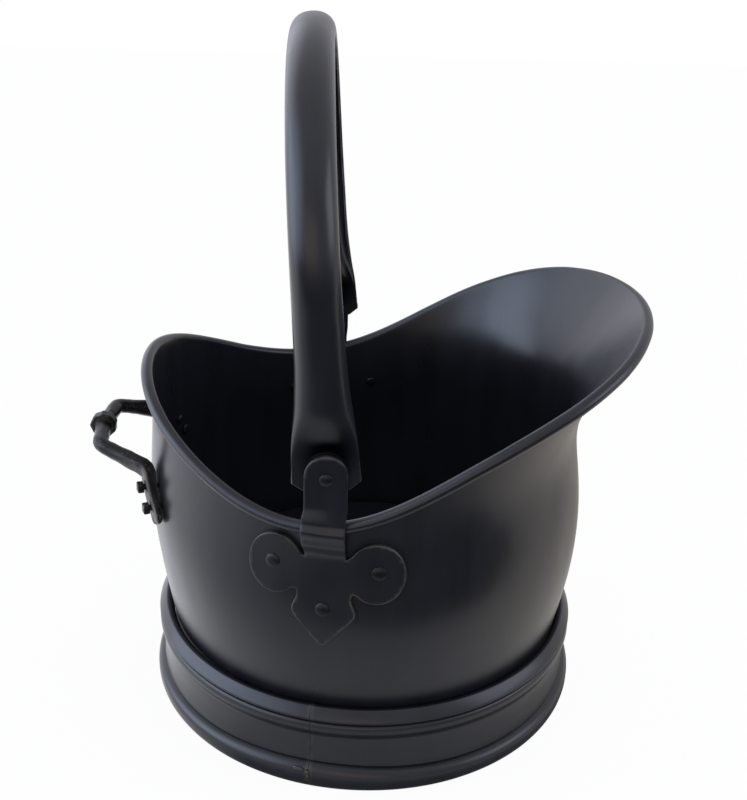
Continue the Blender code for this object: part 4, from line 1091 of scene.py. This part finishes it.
class LOGBUCKET_OT_ears(LogBucketPiece, bpy.types.Operator):
    """Cut the lobed ear plates and bend them to the wall"""

    bl_idname = "log_bucket.ears"
    bl_label = "Ear plates"

    def outline(self, ear, shape):
        """(across, height) points round the strap and the three-lobed plate."""
        rim = shape.rim_at_ear
        crown = rim + ear.pivot_rise + ear.strap_top - ear.strap_half
        right = [
            (ear.strap_half * math.cos(turn), crown + ear.strap_half * math.sin(turn))
            for turn in np.radians(np.linspace(90, 0, 17))]
        lobe = rim - ear.lobe_drop
        right.append((ear.strap_half, lobe + ear.lobe_half_height * ear.notch))
        for turn in np.radians(np.linspace(158, -178, 85)):
            across = ear.lobe_offset + ear.lobe_half_width * math.cos(turn)
            if across > ear.neck_half + 0.0012:
                right.append((across, lobe + ear.lobe_half_height * math.sin(turn)))
        # The pointed foot: places down it as shares of its length, and half widths as shares of the shoulder's.
        places = (0.0, 0.12, 0.27, 0.35, 0.67, 0.96, 1.0)
        widths = (ear.neck_half / ear.shoulder_half, 0.84, 1.02, 0.95, 0.47, 0.07, 0.0)
        for way in np.linspace(0.0, 0.98, 27):
            width = float(np.interp(way, places, widths))
            right.append((ear.shoulder_half * width, rim - ear.neck_drop - (ear.point_drop - ear.neck_drop) * way))
        right.append((0.0, rim - ear.point_drop))
        line = np.array(right + [(-across, height) for across, height in right[1:-1]][::-1])
        drop = rim - line[:, 1]
        # The cut corners at the neck, and less so the point, were filed round.
        neck = (np.abs(line[:, 0]) < 0.0220) & (drop > 0.031) & (drop < 0.060)
        point = drop > ear.point_drop - 0.0035
        for zone, rounds in ((neck, 11), (point, 3)):
            for _ in range(rounds):
                eased = (np.roll(line, 1, 0) + line * 2 + np.roll(line, -1, 0)) / 4
                line = np.where(zone[:, None], eased, line)
        return line

    def plate(self, settings, shape):
        ear = settings.ear
        outline = self.outline(ear, shape)
        tangent = unit(np.roll(outline, -1, 0) - np.roll(outline, 1, 0))
        inward = np.column_stack((tangent[:, 1], -tangent[:, 0]))
        rings = [(outline, 0.0)]
        for turn in np.radians((0, 30, 60, 90)):
            shrink = ear.edge_round * (1.0 - math.cos(turn))
            rings.append((outline + inward * shrink, ear.sheet - ear.edge_round * (1.0 - math.sin(turn))))
        work = bmesh.new()
        layers = [[work.verts.new((x, depth, z)) for x, z in line] for line, depth in rings]
        work.faces.new(layers[0])
        work.faces.new(layers[-1][::-1])
        size = len(outline)
        for lower, upper in zip(layers, layers[1:]):
            for j in range(size):
                k = (j + 1) % size
                work.faces.new((lower[j], upper[j], upper[k], lower[k]))
        # The flat plate is cut into cells small enough to bend smoothly.
        low, high = outline[:, 1].min(), outline[:, 1].max()
        cuts = [((0.0, 0.0, height), (0.0, 0.0, 1.0)) for height in np.arange(low + 0.0021, high, 0.0016)]
        cuts += [((across, 0.0, 0.0), (1.0, 0.0, 0.0)) for across in np.arange(-0.0453, 0.046, 0.00222)]
        for place, normal in cuts:
            geometry = work.verts[:] + work.edges[:] + work.faces[:]
            bmesh.ops.bisect_plane(work, geom=geometry, dist=1e-7, plane_co=place, plane_no=normal)
        work.verts.index_update()
        flat = places_of(work.verts)
        faces = [tuple(vert.index for vert in face.verts) for face in work.faces]
        work.free()
        spread = np.linalg.norm(flat[:, None, [0, 2]] - outline[None], axis=2).min(1)
        edge = (spread < ear.edge_round * 1.2) & (flat[:, 1] > ear.sheet * 0.6)
        return shape.ear_point(flat[:, 0], flat[:, 2], flat[:, 1]), faces, edge.astype(float)

    def make(self, settings, shape):
        points, faces, edge = self.plate(settings, shape)
        paint = satin_paint(settings.paint, "Ear black paint", 0.40)
        for label, mirror in (("right", (1.0, 1.0, 1.0)), ("left", (1.0, -1.0, 1.0))):
            mesh = to_mesh(f"ear_plate_{label}", points * mirror + (AXIS_X, 0.0, 0.0), faces, edge)
            make_piece(f"ear_plate_{label}", mesh, paint, "satin_black", "bucket", f"ear_{label}")


def head_profile(base, under, head, shank, tail):
    """A rivet's half section: domed head over base, shank, and hammered tail under the work."""
    radius, height = head
    line = [(0.0, base + height)]
    for way in np.linspace(0.12, 0.97, 10):
        line.append((radius * way, base + height * (1.0 - 0.80 * way**2.6)))
    line += [(radius, base + height * 0.14), (radius * 0.985, base), (shank, base), (shank, under)]
    line += [(tail[0] * 0.96, under), (tail[0], under - tail[1] * 0.25)]
    for turn in np.radians(np.linspace(20, 80, 6)):
        line.append((tail[0] * math.cos(turn) ** 0.6, under - tail[1] * (0.25 + 0.75 * math.sin(turn))))
    line.append((0.0, under - tail[1]))
    return line


class LOGBUCKET_OT_rivets(LogBucketPiece, bpy.types.Operator):
    """Set the ear rivets, the pivot rivets and their washers"""

    bl_idname = "log_bucket.rivets"
    bl_label = "Rivets"

    def make(self, settings, shape):
        ear = settings.ear
        size = settings.fasteners
        body = settings.body
        paint = rivet_paint(settings.paint)
        reach = body.floor_radius * read(shape.reach, ear.turn)
        places = []
        for across, drop in (
                (ear.rivet_offset, ear.rivet_drop), (-ear.rivet_offset, ear.rivet_drop),
                (0.0, ear.point_rivet_drop)):
            places += both_sides(*shape.wall_spot(across / reach - ear.turn, shape.rim_at_ear - drop))
        profile = head_profile(
            body.sheet / 2 + ear.gap + ear.sheet + size.gap, -body.sheet / 2 - size.sag - size.gap,
            (size.ear_head, size.ear_head_height), size.ear_shank, (size.ear_tail, size.ear_tail_height))
        names = [f"ear_{side}_rivet_{spot}" for side in ("right", "left") for spot in ("front", "rear", "point")]
        stand_fasteners("ear_rivets", profile, places, paint, "rivet_black", names)
        inside = -size.gap * 2 - settings.bail.sheet - size.washer_sheet
        profile = head_profile(
            ear.sheet + size.gap, inside - size.gap, (size.pivot_head, size.pivot_head_height),
            size.pivot_shank, (size.pivot_tail, size.pivot_tail_height))
        places = [(shape.pivot_face(side), (0.0, side, 0.0)) for side in (-1, 1)]
        names = ("pivot_rivet_right", "pivot_rivet_left")
        stand_fasteners("pivot_rivets", profile, places, paint, "rivet_black", names)
        self.washers(settings, shape, inside, paint)

    def washers(self, settings, shape, inside, paint):
        size = settings.fasteners
        top = inside + size.washer_sheet
        bore = size.pivot_shank + size.gap
        soft = size.washer_sheet * 0.25
        section = [(bore, inside + soft), (bore + soft, inside), (size.washer - soft, inside)]
        section += [(size.washer, inside + soft), (size.washer, top - soft), (size.washer - soft, top)]
        section += [(bore + soft, top), (bore, top - soft)]
        turn = np.arange(48) * math.tau / 48
        points = []
        faces = []
        for side in (-1, 1):
            centre = shape.pivot_face(side)
            ring = [[centre + (r * math.cos(a), side * z, r * math.sin(a)) for r, z in section] for a in turn]
            grid = skin(len(turn), len(section))
            if side < 0:
                grid = [face[::-1] for face in grid]
            faces += [[corner + len(points) for corner in face] for face in grid]
            points += [point for row in ring for point in row]
        mesh = to_mesh("pivot_washers", points, faces)
        make_piece("pivot_washers", mesh, paint, "rivet_black", "bucket", "pivot_washer_right", "pivot_washer_left")


class LOGBUCKET_OT_bail(LogBucketPiece, bpy.types.Operator):
    """Press the channel bail with its dished ends"""

    bl_idname = "log_bucket.bail"
    bl_label = "Bail handle"

    width_shares = (
        (-0.029, 1.441), (0.071, 1.449), (0.179, 1.402), (0.313, 1.260),
        (0.500, 1.118), (0.804, 1.044), (2.054, 1.036))
    end_share = (-0.072, 0.945)
    leg_shares = (-0.072, -0.029, 0.036, 0.089, 0.138, 0.183, 0.232, 0.286, 0.348, 0.429, 0.554, 0.768)
    spread_start = 0.138

    def path(self, bail, face):
        """(span, height) places of the outer face from the left end over the top to the right end."""
        reach = face + bail.spread - bail.crown
        rise = bail.top - bail.crown - bail.shoulder
        half = []
        for climb_share in self.leg_shares:
            climb = max(climb_share - self.spread_start, 0.0) / (1.0 - self.spread_start)
            half.append((face + (reach - face) * climb * climb * (3.0 - climb) / 2, bail.shoulder * climb_share))
        for turn in np.radians(np.linspace(0, 90, 10)):
            half.append((reach * math.cos(turn), bail.shoulder + rise * math.sin(turn)))
        line = np.array(half + [(-span, height) for span, height in half[:-1]][::-1])
        run = np.concatenate(([0.0], np.cumsum(np.linalg.norm(np.diff(line, axis=0), axis=1))))
        low = run[1]
        ends = np.array((0.0, 0.25, 0.5, 0.75)) * low
        wanted = np.concatenate((ends, np.linspace(low, run[-1] - low, bail.stations), (run[-1] - ends)[::-1]))
        return smooth_line(run, line, wanted)

    def half_width(self, bail, height):
        way = height / bail.shoulder
        table = np.array(self.width_shares)
        wide = smooth_line(table[:, 0], table[:, 1], np.clip(way, table[0, 0], table[-1, 0]))[:, 0]
        low, narrow = self.end_share
        end = narrow + (table[0, 1] - narrow) * (way - low) / (table[0, 0] - low)
        return bail.half_width * np.where(way < table[0, 0], end, wide)

    def make(self, settings, shape):
        bail = settings.bail
        line = self.path(bail, shape.strap_face - settings.fasteners.gap)
        tangent = unit(np.gradient(line, axis=0))
        columns = 53
        steps = np.sin(np.linspace(-math.pi / 2, math.pi / 2, columns))
        offset = 1.0 - (1.0 - np.abs(steps) ** bail.power) ** (1.0 / bail.power)
        across = self.half_width(bail, line[:, 1])[:, None] * steps
        height = line[:, 1][:, None]
        blend = smooth_step(bail.dish, bail.dish + bail.dish_blend, np.hypot(across, height)) * (height >= 0.0)
        flat = np.stack((across, blend * (bail.crown - bail.depth * offset)), -1)
        slope = unit(np.gradient(flat, axis=1))
        inward = np.stack((slope[..., 1], -slope[..., 0]), -1)
        half = bail.sheet / 2
        middle = flat + inward * bail.sheet / 2
        caps = np.linspace(0.0, math.pi, 7)[1:-1, None]
        right = middle[:, -1:] - np.cos(caps) * inward[:, -1:] * half + np.sin(caps) * slope[:, -1:] * half
        left = middle[:, :1] + np.cos(caps) * inward[:, :1] * half - np.sin(caps) * slope[:, :1] * half
        rows = np.concatenate((middle - inward * half, right, (middle + inward * half)[:, ::-1], left), 1)
        outward = np.column_stack((tangent[:, 1], -tangent[:, 0]))
        places = line[:, None] + outward[:, None] * rows[..., 1:2]
        rings = np.stack((rows[..., 0], places[..., 0], places[..., 1]), -1)
        edge = np.zeros(rings.shape[1])
        edge[0] = 1.0
        edge[columns - 1:columns + len(caps) + 2] = 1.0
        edge[1 - len(caps):] = 1.0
        edge = np.tile(edge, len(rings))
        mesh = to_mesh("bail_arch", rings, skin(len(rings), rings.shape[1], wrap_rows=False), edge)
        mesh.transform(Matrix.Translation(shape.pivot) @ Matrix.Rotation(bail.lean, 4, "Y"))
        mesh = self.bore(mesh, shape, settings.fasteners)
        # Painted shade: the pocket above each strap is marked darker, where shadow falls in the dish round the pivot.
        apart = places_of(mesh.vertices) - np.array(shape.pivot)
        far = np.hypot(apart[:, 0] - bail.soot_shift, apart[:, 2] - bail.soot_rise)
        painted_shade = (1.0 - smooth_step(bail.soot_inner, bail.soot_outer, far)) * smooth_step(-0.006, 0.002, apart[:, 2])
        set_values(mesh, "pocket", painted_shade)
        paint = pocket_paint("Bail black paint", settings.paint)
        make_piece("bail_arch", mesh, paint, "satin_black", "bail", "bail_handle")

    def bore(self, mesh, shape, size):
        """Cuts the two pivot holes."""
        obj = new_object("bail_blank", mesh)
        radius = size.pivot_shank + size.gap
        turn = np.arange(40) * math.tau / 40
        cutters = []
        for side in (-1, 1):
            middle = shape.pivot_face(side)
            rings = [
                [middle + (radius * math.cos(a), depth, radius * math.sin(a)) for a in turn]
                for depth in (-0.008, 0.008)]
            cutter = new_object("bail_bore", to_mesh("bail_bore", rings, skin(2, len(turn), wrap_rows=False)))
            cut = obj.modifiers.new("bore", "BOOLEAN")
            cut.object = cutter
            cut.operation = "DIFFERENCE"
            cut.solver = "EXACT"
            cutters.append(cutter)
        done = evaluated_mesh(obj)
        for extra in (obj, *cutters):
            bpy.data.objects.remove(extra)
        done.set_sharp_from_angle(angle=SHARP_FROM)
        return done


class LOGBUCKET_OT_grip(LogBucketPiece, bpy.types.Operator):
    """Forge the rear grip and set its square bolts"""

    bl_idname = "log_bucket.grip"
    bl_label = "Rear grip"

    # Places beside the collar's middle and its swell there, as shares of its half width and of its rise over the bar.
    collar_shares = (
        (1.35, 0.0), (1.12, 0.10), (1.0, 0.55), (0.97, 0.80), (0.85, 0.93), (0.6, 1.0), (0.3, 1.0), (0.0, 1.0))
    # A square bolt head from its middle round to its seat, as shares of its half width and height.
    head_shares = (
        (0.0, 1.0), (0.55, 1.0), (0.84, 0.985), (0.93, 0.95), (0.985, 0.88), (1.0, 0.78), (1.0, 0.4), (1.0, 0.08),
        (0.96, 0.0))

    def pad_share(self, grip, height):
        """How far up the pad a height lies, from 0 at its bottom to 1 at its top."""
        return 1.0 - (grip.height - grip.pad_drop - height) / grip.pad_length

    def pad_depth(self, grip, height):
        way = np.clip(self.pad_share(grip, height), 0.0, 1.0)
        return grip.pad_half_depth * (grip.pad_taper + (1.0 - grip.pad_taper) * way)

    def behind(self, grip, shape, height):
        """Wall point behind the pad's centre line, and its normal."""
        turn = grip.bottom_turn + (grip.top_turn - grip.bottom_turn) * self.pad_share(grip, height)
        return shape.wall_spot(turn - math.pi, height)

    def pad_point(self, settings, shape, height):
        grip = settings.grip
        spot, normal = self.behind(grip, shape, height)
        return spot + normal * (settings.body.sheet / 2 + settings.fasteners.gap + self.pad_depth(grip, height))

    def bend(self, before, corner, after, radius, steps):
        first = (before - corner).normalized()
        second = (after - corner).normalized()
        half = first.angle(second) / 2
        middle = corner + (first + second).normalized() * (radius / math.sin(half))
        run = radius / math.tan(half)
        start = corner + first * run - middle
        end = corner + second * run - middle
        return [middle + start.slerp(end, step / steps).normalized() * radius for step in range(steps + 1)]

    def path(self, settings, shape):
        """Centre line of the right half from the pad's tip to the collar: place, half sizes, roundness."""
        grip = settings.grip
        top = grip.height - grip.pad_drop
        bottom = top - grip.pad_length
        bar_x = -settings.body.floor_radius * float(read(shape.reach, math.pi)) - grip.reach
        corner = Vector((bar_x + grip.bow, -grip.half_span, grip.height))
        centre = Vector((bar_x, 0.0, grip.height))
        line = []

        def pad(height):
            return np.array((grip.pad_half_width, float(self.pad_depth(grip, height))))

        for turn in np.radians(np.linspace(84, 6, 8)):
            spot = self.pad_point(settings, shape, bottom - grip.pad_half_width * 0.58 * math.sin(turn))
            line.append((spot, pad(bottom) * math.cos(turn) ** np.array((0.85, 0.6)), 0.0))
        low = Vector(self.pad_point(settings, shape, bottom))
        high = Vector(self.pad_point(settings, shape, top))
        first = self.bend(low, high, corner, grip.bend, 10)
        for height in np.linspace(bottom, first[0].z, 14)[:-1]:
            line.append((self.pad_point(settings, shape, height), pad(height), 0.0))
        second = self.bend(high, corner, centre, grip.bend, 12)
        arm = [first[-1].lerp(second[0], step / 8) for step in range(1, 8)]
        for spot in first + arm + second:
            way = float(smooth_step(top - grip.bar * 0.2, top + grip.bar * 1.6, spot.z))
            line.append((np.array(spot), pad(spot.z) + (grip.bar - pad(spot.z)) * way, way))
        last = second[-1]
        until = 1.0 - grip.collar_half * 1.5 / -last.y
        for step in np.linspace(0.0, 1.0, 9)[1:-1]:
            line.append((np.array(last.lerp(centre, step * until)), np.full(2, grip.bar), 1.0))
        for offset, crown in self.collar_shares:
            size = grip.bar + (grip.collar - grip.bar) * crown
            line.append((np.array((bar_x, -grip.collar_half * offset, grip.height)), np.full(2, size), 1.0))
        return line

    def make(self, settings, shape):
        grip = settings.grip
        line = self.path(settings, shape)
        half = [Vector(spot) for spot, _, _ in line]
        sides = 40
        turn = np.arange(sides) * math.tau / sides
        collar_faces, collar_turn = 9, 0.2
        wedge = math.pi / collar_faces
        facet = np.cos(wedge) / np.cos((turn + collar_turn) % (2 * wedge) - wedge)
        rings = []
        for index, (_, (width, depth), way) in enumerate(line):
            spot = half[index]
            before = half[max(index - 1, 0)]
            after = half[min(index + 1, len(half) - 1)]
            along = (after - before).normalized()
            if spot.z < grip.height - grip.pad_drop:
                side_axis = Vector(self.behind(grip, shape, spot.z)[1]).cross(along)
            side_axis = (side_axis - along * side_axis.dot(along)).normalized()
            depth_axis = along.cross(side_axis)
            in_collar = smooth_step(grip.bar * 1.25, grip.collar * 0.95, width) * way
            power = grip.pad_power + (2.0 - grip.pad_power) * way
            squared = (np.abs(np.cos(turn)) ** power + np.abs(np.sin(turn)) ** power) ** (-1.0 / power)
            fullness = squared * (1.0 - (1.0 - facet) * in_collar)
            across = np.outer(np.cos(turn) * width * fullness, side_axis)
            rings.append(np.array(spot) + across + np.outer(np.sin(turn) * depth * fullness, depth_axis))
        rings = np.array(rings)
        rings = np.concatenate((rings, rings[:-1][::-1] * (1.0, -1.0, 1.0)))
        spoke = unit(rings - rings.mean(1, keepdims=True))
        # Broad hammer marks and small ones; the highest spots stay where they are.
        spots = rings.reshape(-1, 3)
        dents = lumps(spots, 0.014, 31) * 0.6 + lumps(spots, 0.006, 32) * 0.4 - 1.0
        rings += spoke * (dents.reshape(rings.shape[:2]) * grip.forged)[..., None]
        rings[..., 0] += AXIS_X
        # The pads' four long corners are rubbed bare and lighter; this is also a painted highlight along their
        # ridges.
        corner = np.exp(-((1.0 - np.abs(np.sin(turn * 2))) / 0.10) ** 2)
        square = np.array([1.0 - way for _, _, way in line])
        worn_and_highlit = np.outer(np.concatenate((square, square[:-1][::-1])), corner)
        mesh = to_mesh("rear_grip", rings, skin(len(rings), sides, wrap_rows=False), worn_and_highlit.ravel())
        iron = forged_material("Forged black iron", settings.paint)
        make_piece("rear_grip", mesh, iron, "forged_black", "bucket", "rear_handle")
        self.bolts(settings, shape, iron)

    def bolts(self, settings, shape, iron):
        grip = settings.grip
        size = settings.fasteners
        under = -settings.body.sheet / 2 - size.sag - size.gap
        for label, way in (("upper", grip.upper_bolt), ("lower", grip.lower_bolt)):
            height = grip.height - grip.pad_drop - grip.pad_length * (1.0 - way)
            depth = float(self.pad_depth(grip, height + size.bolt_half))
            base = settings.body.sheet / 2 + size.gap + depth * 2 + size.gap
            profile = [(size.bolt_half * wide, base + size.bolt_height * tall) for wide, tall in self.head_shares]
            profile += [(size.bolt_shank, base), (size.bolt_shank, under)]
            for wide, tall in ((0.97, 0.0), (1.0, 0.3), (0.8, 0.8), (0.0, 1.0)):
                profile.append((size.bolt_tail * wide, under - size.bolt_tail_height * tall))
            stand_fasteners(
                f"rear_bolts_{label}", profile, both_sides(*self.behind(grip, shape, height)), iron, "forged_black",
                [f"rear_bolt_{side}_{label}" for side in ("right", "left")], turn=0.12, uneven=0.0003, sides=48,
                square_rows=range(1, len(self.head_shares)))


class LOGBUCKET_OT_stage(bpy.types.Operator):
    """Set the camera, the white floor and the soft studio light"""

    bl_idname = "log_bucket.stage"
    bl_label = "Studio"
    bl_options = {"REGISTER", "UNDO"}

    def execute(self, context):
        stage = context.scene.log_bucket.stage
        self.camera(context, stage)
        self.floor(stage)
        self.world(context, stage)
        self.lamps()
        context.scene.view_settings.view_transform = "Standard"
        return {"FINISHED"}

    def camera(self, context, stage):
        lens = bpy.data.cameras.new("studio_camera")
        lens.lens = stage.lens
        lens.sensor_width = 36.0
        lens.sensor_fit = "HORIZONTAL"
        lens.shift_x = stage.shift_x
        lens.shift_y = stage.shift_y
        camera = new_object("studio_camera", lens)
        yaw, pitch, roll = stage.yaw, stage.pitch, stage.roll
        ahead = Vector((math.sin(yaw) * math.cos(pitch), math.cos(yaw) * math.cos(pitch), -math.sin(pitch)))
        right = Vector((math.cos(yaw), -math.sin(yaw), 0.0))
        up = right.cross(ahead)
        rolled = right * math.cos(roll) + up * math.sin(roll)
        risen = up * math.cos(roll) - right * math.sin(roll)
        camera.matrix_world = Matrix.Translation(stage.place) @ Matrix((rolled, risen, -ahead)).transposed().to_4x4()
        context.scene.camera = camera

    def floor(self, stage):
        """White to the camera, patterned to mirror rays, and lit paper to the rest."""
        half = 3.0
        corners = [(-half, -half, 0.0), (half, -half, 0.0), (half, half, 0.0), (-half, half, 0.0)]
        mesh = bpy.data.meshes.new("studio_floor")
        mesh.from_pydata(corners, [], [(0, 1, 2, 3)])
        material = bpy.data.materials.new("Studio floor")
        material.use_nodes = True
        tree = material.node_tree
        tree.nodes.clear()
        paper = add(tree, "ShaderNodeBsdfDiffuse", {"Color": (0.90, 0.90, 0.90, 1.0)}).outputs[0]
        white = add(tree, "ShaderNodeEmission", {"Color": (1.0, 1.0, 1.0, 1.0), "Strength": 1.0}).outputs[0]
        seen = add(tree, "ShaderNodeMixShader", {0: 0.95, 1: paper, 2: white}).outputs[0]
        where = add(tree, "ShaderNodeTexCoord").outputs["Object"]
        apart = add(tree, "ShaderNodeSeparateXYZ", {0: where}).outputs
        # The floor is brighter behind the bucket than in front of it, cooler on the left and warmer on the right.
        slant = maths(tree, "MULTIPLY_ADD", maths(tree, "MINIMUM", apart["X"], 0.3), -0.45, apart["Y"])
        left = faded(tree, slant, -0.22, 0.16, 0.56, 1.46)
        right = faded(tree, apart["Y"], -0.12, 0.22, 0.82, 0.62)
        side = faded(tree, apart["X"], 0.02, 0.26)
        tone = blended(tree, side, stage.floor_left, stage.floor_right)
        # It is dark far in front, and shaded close round the foot except on the left.
        lit = faded(tree, slant, -0.405, -0.30)
        from_axis = vector_maths(tree, "DISTANCE", where, (AXIS_X, 0.0, 0.0), "Value")
        shade = faded(tree, from_axis, 0.148, 0.174, 0.22, 1.0)
        foot = maths(tree, "MAXIMUM", shade, faded(tree, apart["X"], -0.12, -0.05, 1.0, 0.0))
        strength = maths(tree, "MULTIPLY", between(tree, side, left, right), maths(tree, "MULTIPLY", lit, foot))
        thrown = add(tree, "ShaderNodeEmission", {"Color": tone, "Strength": strength}).outputs[0]
        add(tree, "ShaderNodeOutputMaterial", {"Surface": self.shown(tree, seen, thrown, paper)})
        mesh.materials.append(material)
        floor = new_object("studio_floor", mesh)

    def shown(self, tree, camera_sees, mirrors_see, others_see):
        """One surface for the camera, one for mirror and glass rays, and one that lights the rest."""
        ray = add(tree, "ShaderNodeLightPath").outputs
        clear = maths(tree, "MAXIMUM", ray["Is Glossy Ray"], ray["Is Transmission Ray"])
        looked = maths(tree, "MAXIMUM", ray["Is Camera Ray"], clear)
        direct = add(tree, "ShaderNodeMixShader", {0: ray["Is Camera Ray"], 1: mirrors_see, 2: camera_sees})
        return add(tree, "ShaderNodeMixShader", {0: looked, 1: others_see, 2: direct.outputs[0]}).outputs[0]

    def world(self, context, stage):
        """White to the camera, a patterned room to mirror rays, and even soft light to the rest."""
        world = bpy.data.worlds.new("Studio room")
        context.scene.world = world
        world.use_nodes = True
        tree = world.node_tree
        tree.nodes.clear()
        look = add(tree, "ShaderNodeTexCoord").outputs["Generated"]
        black = (0.0, 0.0, 0.0)
        light = None
        for direction, low, high, away, towards in (
                ((-0.10, 0.90, 0.42), -0.75, 0.25, stage.dim, stage.room),
                ((-0.60, 0.75, 0.28), 0.80, 0.98, black, stage.back_left),
                ((-0.93, -0.20, 0.28), 0.62, 0.97, black, stage.window),
                ((-0.16, -0.97, 0.18), 0.88, 0.99, black, stage.front)):
            facing = vector_maths(tree, "DOT_PRODUCT", look, direction, "Value")
            glow = blended(tree, faded(tree, facing, low, high), away, towards)
            light = vector_maths(tree, "ADD", light, glow) if light else glow
        plain, room, soft = (
            add(tree, "ShaderNodeBackground", {"Color": tint, "Strength": 1.0}).outputs[0]
            for tint in ((1.0, 1.0, 1.0, 1.0), light, (*stage.soft, 1.0)))
        add(tree, "ShaderNodeOutputWorld", {"Surface": self.shown(tree, plain, room, soft)})

    def lamps(self):
        target = Vector((0.0, 0.0, 0.20))
        for name, place, size, power, tint in (
                ("left_softbox", (-1.44, 0.02, 0.56), (1.2, 1.1), 4.4, (0.72, 0.82, 1.0)),
                ("right_softbox", (1.34, -0.34, 0.78), (1.0, 0.9), 5.2, (0.80, 0.84, 1.0))):
            lamp = bpy.data.lights.new(name, "AREA")
            lamp.shape = "RECTANGLE"
            lamp.size, lamp.size_y = size
            lamp.energy = power
            lamp.color = tint
            aim = (target - Vector(place)).to_track_quat("-Z", "Y")
            new_object(name, lamp).matrix_world = Matrix.Translation(place) @ aim.to_matrix().to_4x4()


class LOGBUCKET_PT_panel(bpy.types.Panel):
    """Lists the bucket's pieces and main sizes"""

    bl_idname = "LOGBUCKET_PT_panel"
    bl_label = "Log Bucket"
    bl_space_type = "VIEW_3D"
    bl_region_type = "UI"
    bl_category = "Log Bucket"

    def draw(self, context):
        settings = context.scene.log_bucket
        column = self.layout.column(align=True)
        for step in OPERATORS:
            column.operator(step.bl_idname)
        box = self.layout.box()
        box.prop(settings.body, "spout_height")
        box.prop(settings.body, "floor_radius")
        box.prop(settings.bail, "lean")
        box.prop(settings.paint, "satin")
        box.prop(settings.paint, "satin_gloss")
        box.prop(settings.paint, "forged")


OPERATORS = (
    LOGBUCKET_OT_body, LOGBUCKET_OT_floor, LOGBUCKET_OT_band, LOGBUCKET_OT_ears, LOGBUCKET_OT_rivets,
    LOGBUCKET_OT_bail, LOGBUCKET_OT_grip, LOGBUCKET_OT_stage)
CLASSES = (
    LogBucketBody, LogBucketBand, LogBucketEar, LogBucketFasteners, LogBucketBail, LogBucketGrip,
    LogBucketPaint, LogBucketStage, LogBucketSettings, *OPERATORS, LOGBUCKET_PT_panel)


def register():
    for cls in CLASSES:
        bpy.utils.register_class(cls)
    bpy.types.Scene.log_bucket = PointerProperty(type=LogBucketSettings)


def unregister():
    del bpy.types.Scene.log_bucket
    for cls in reversed(CLASSES):
        bpy.utils.unregister_class(cls)


def main():
    register()
    bpy.ops.log_bucket.body()
    bpy.ops.log_bucket.floor()
    bpy.ops.log_bucket.band()
    bpy.ops.log_bucket.ears()
    bpy.ops.log_bucket.rivets()
    bpy.ops.log_bucket.bail()
    bpy.ops.log_bucket.grip()
    bpy.ops.log_bucket.stage()


if __name__ == "__main__":
    main()
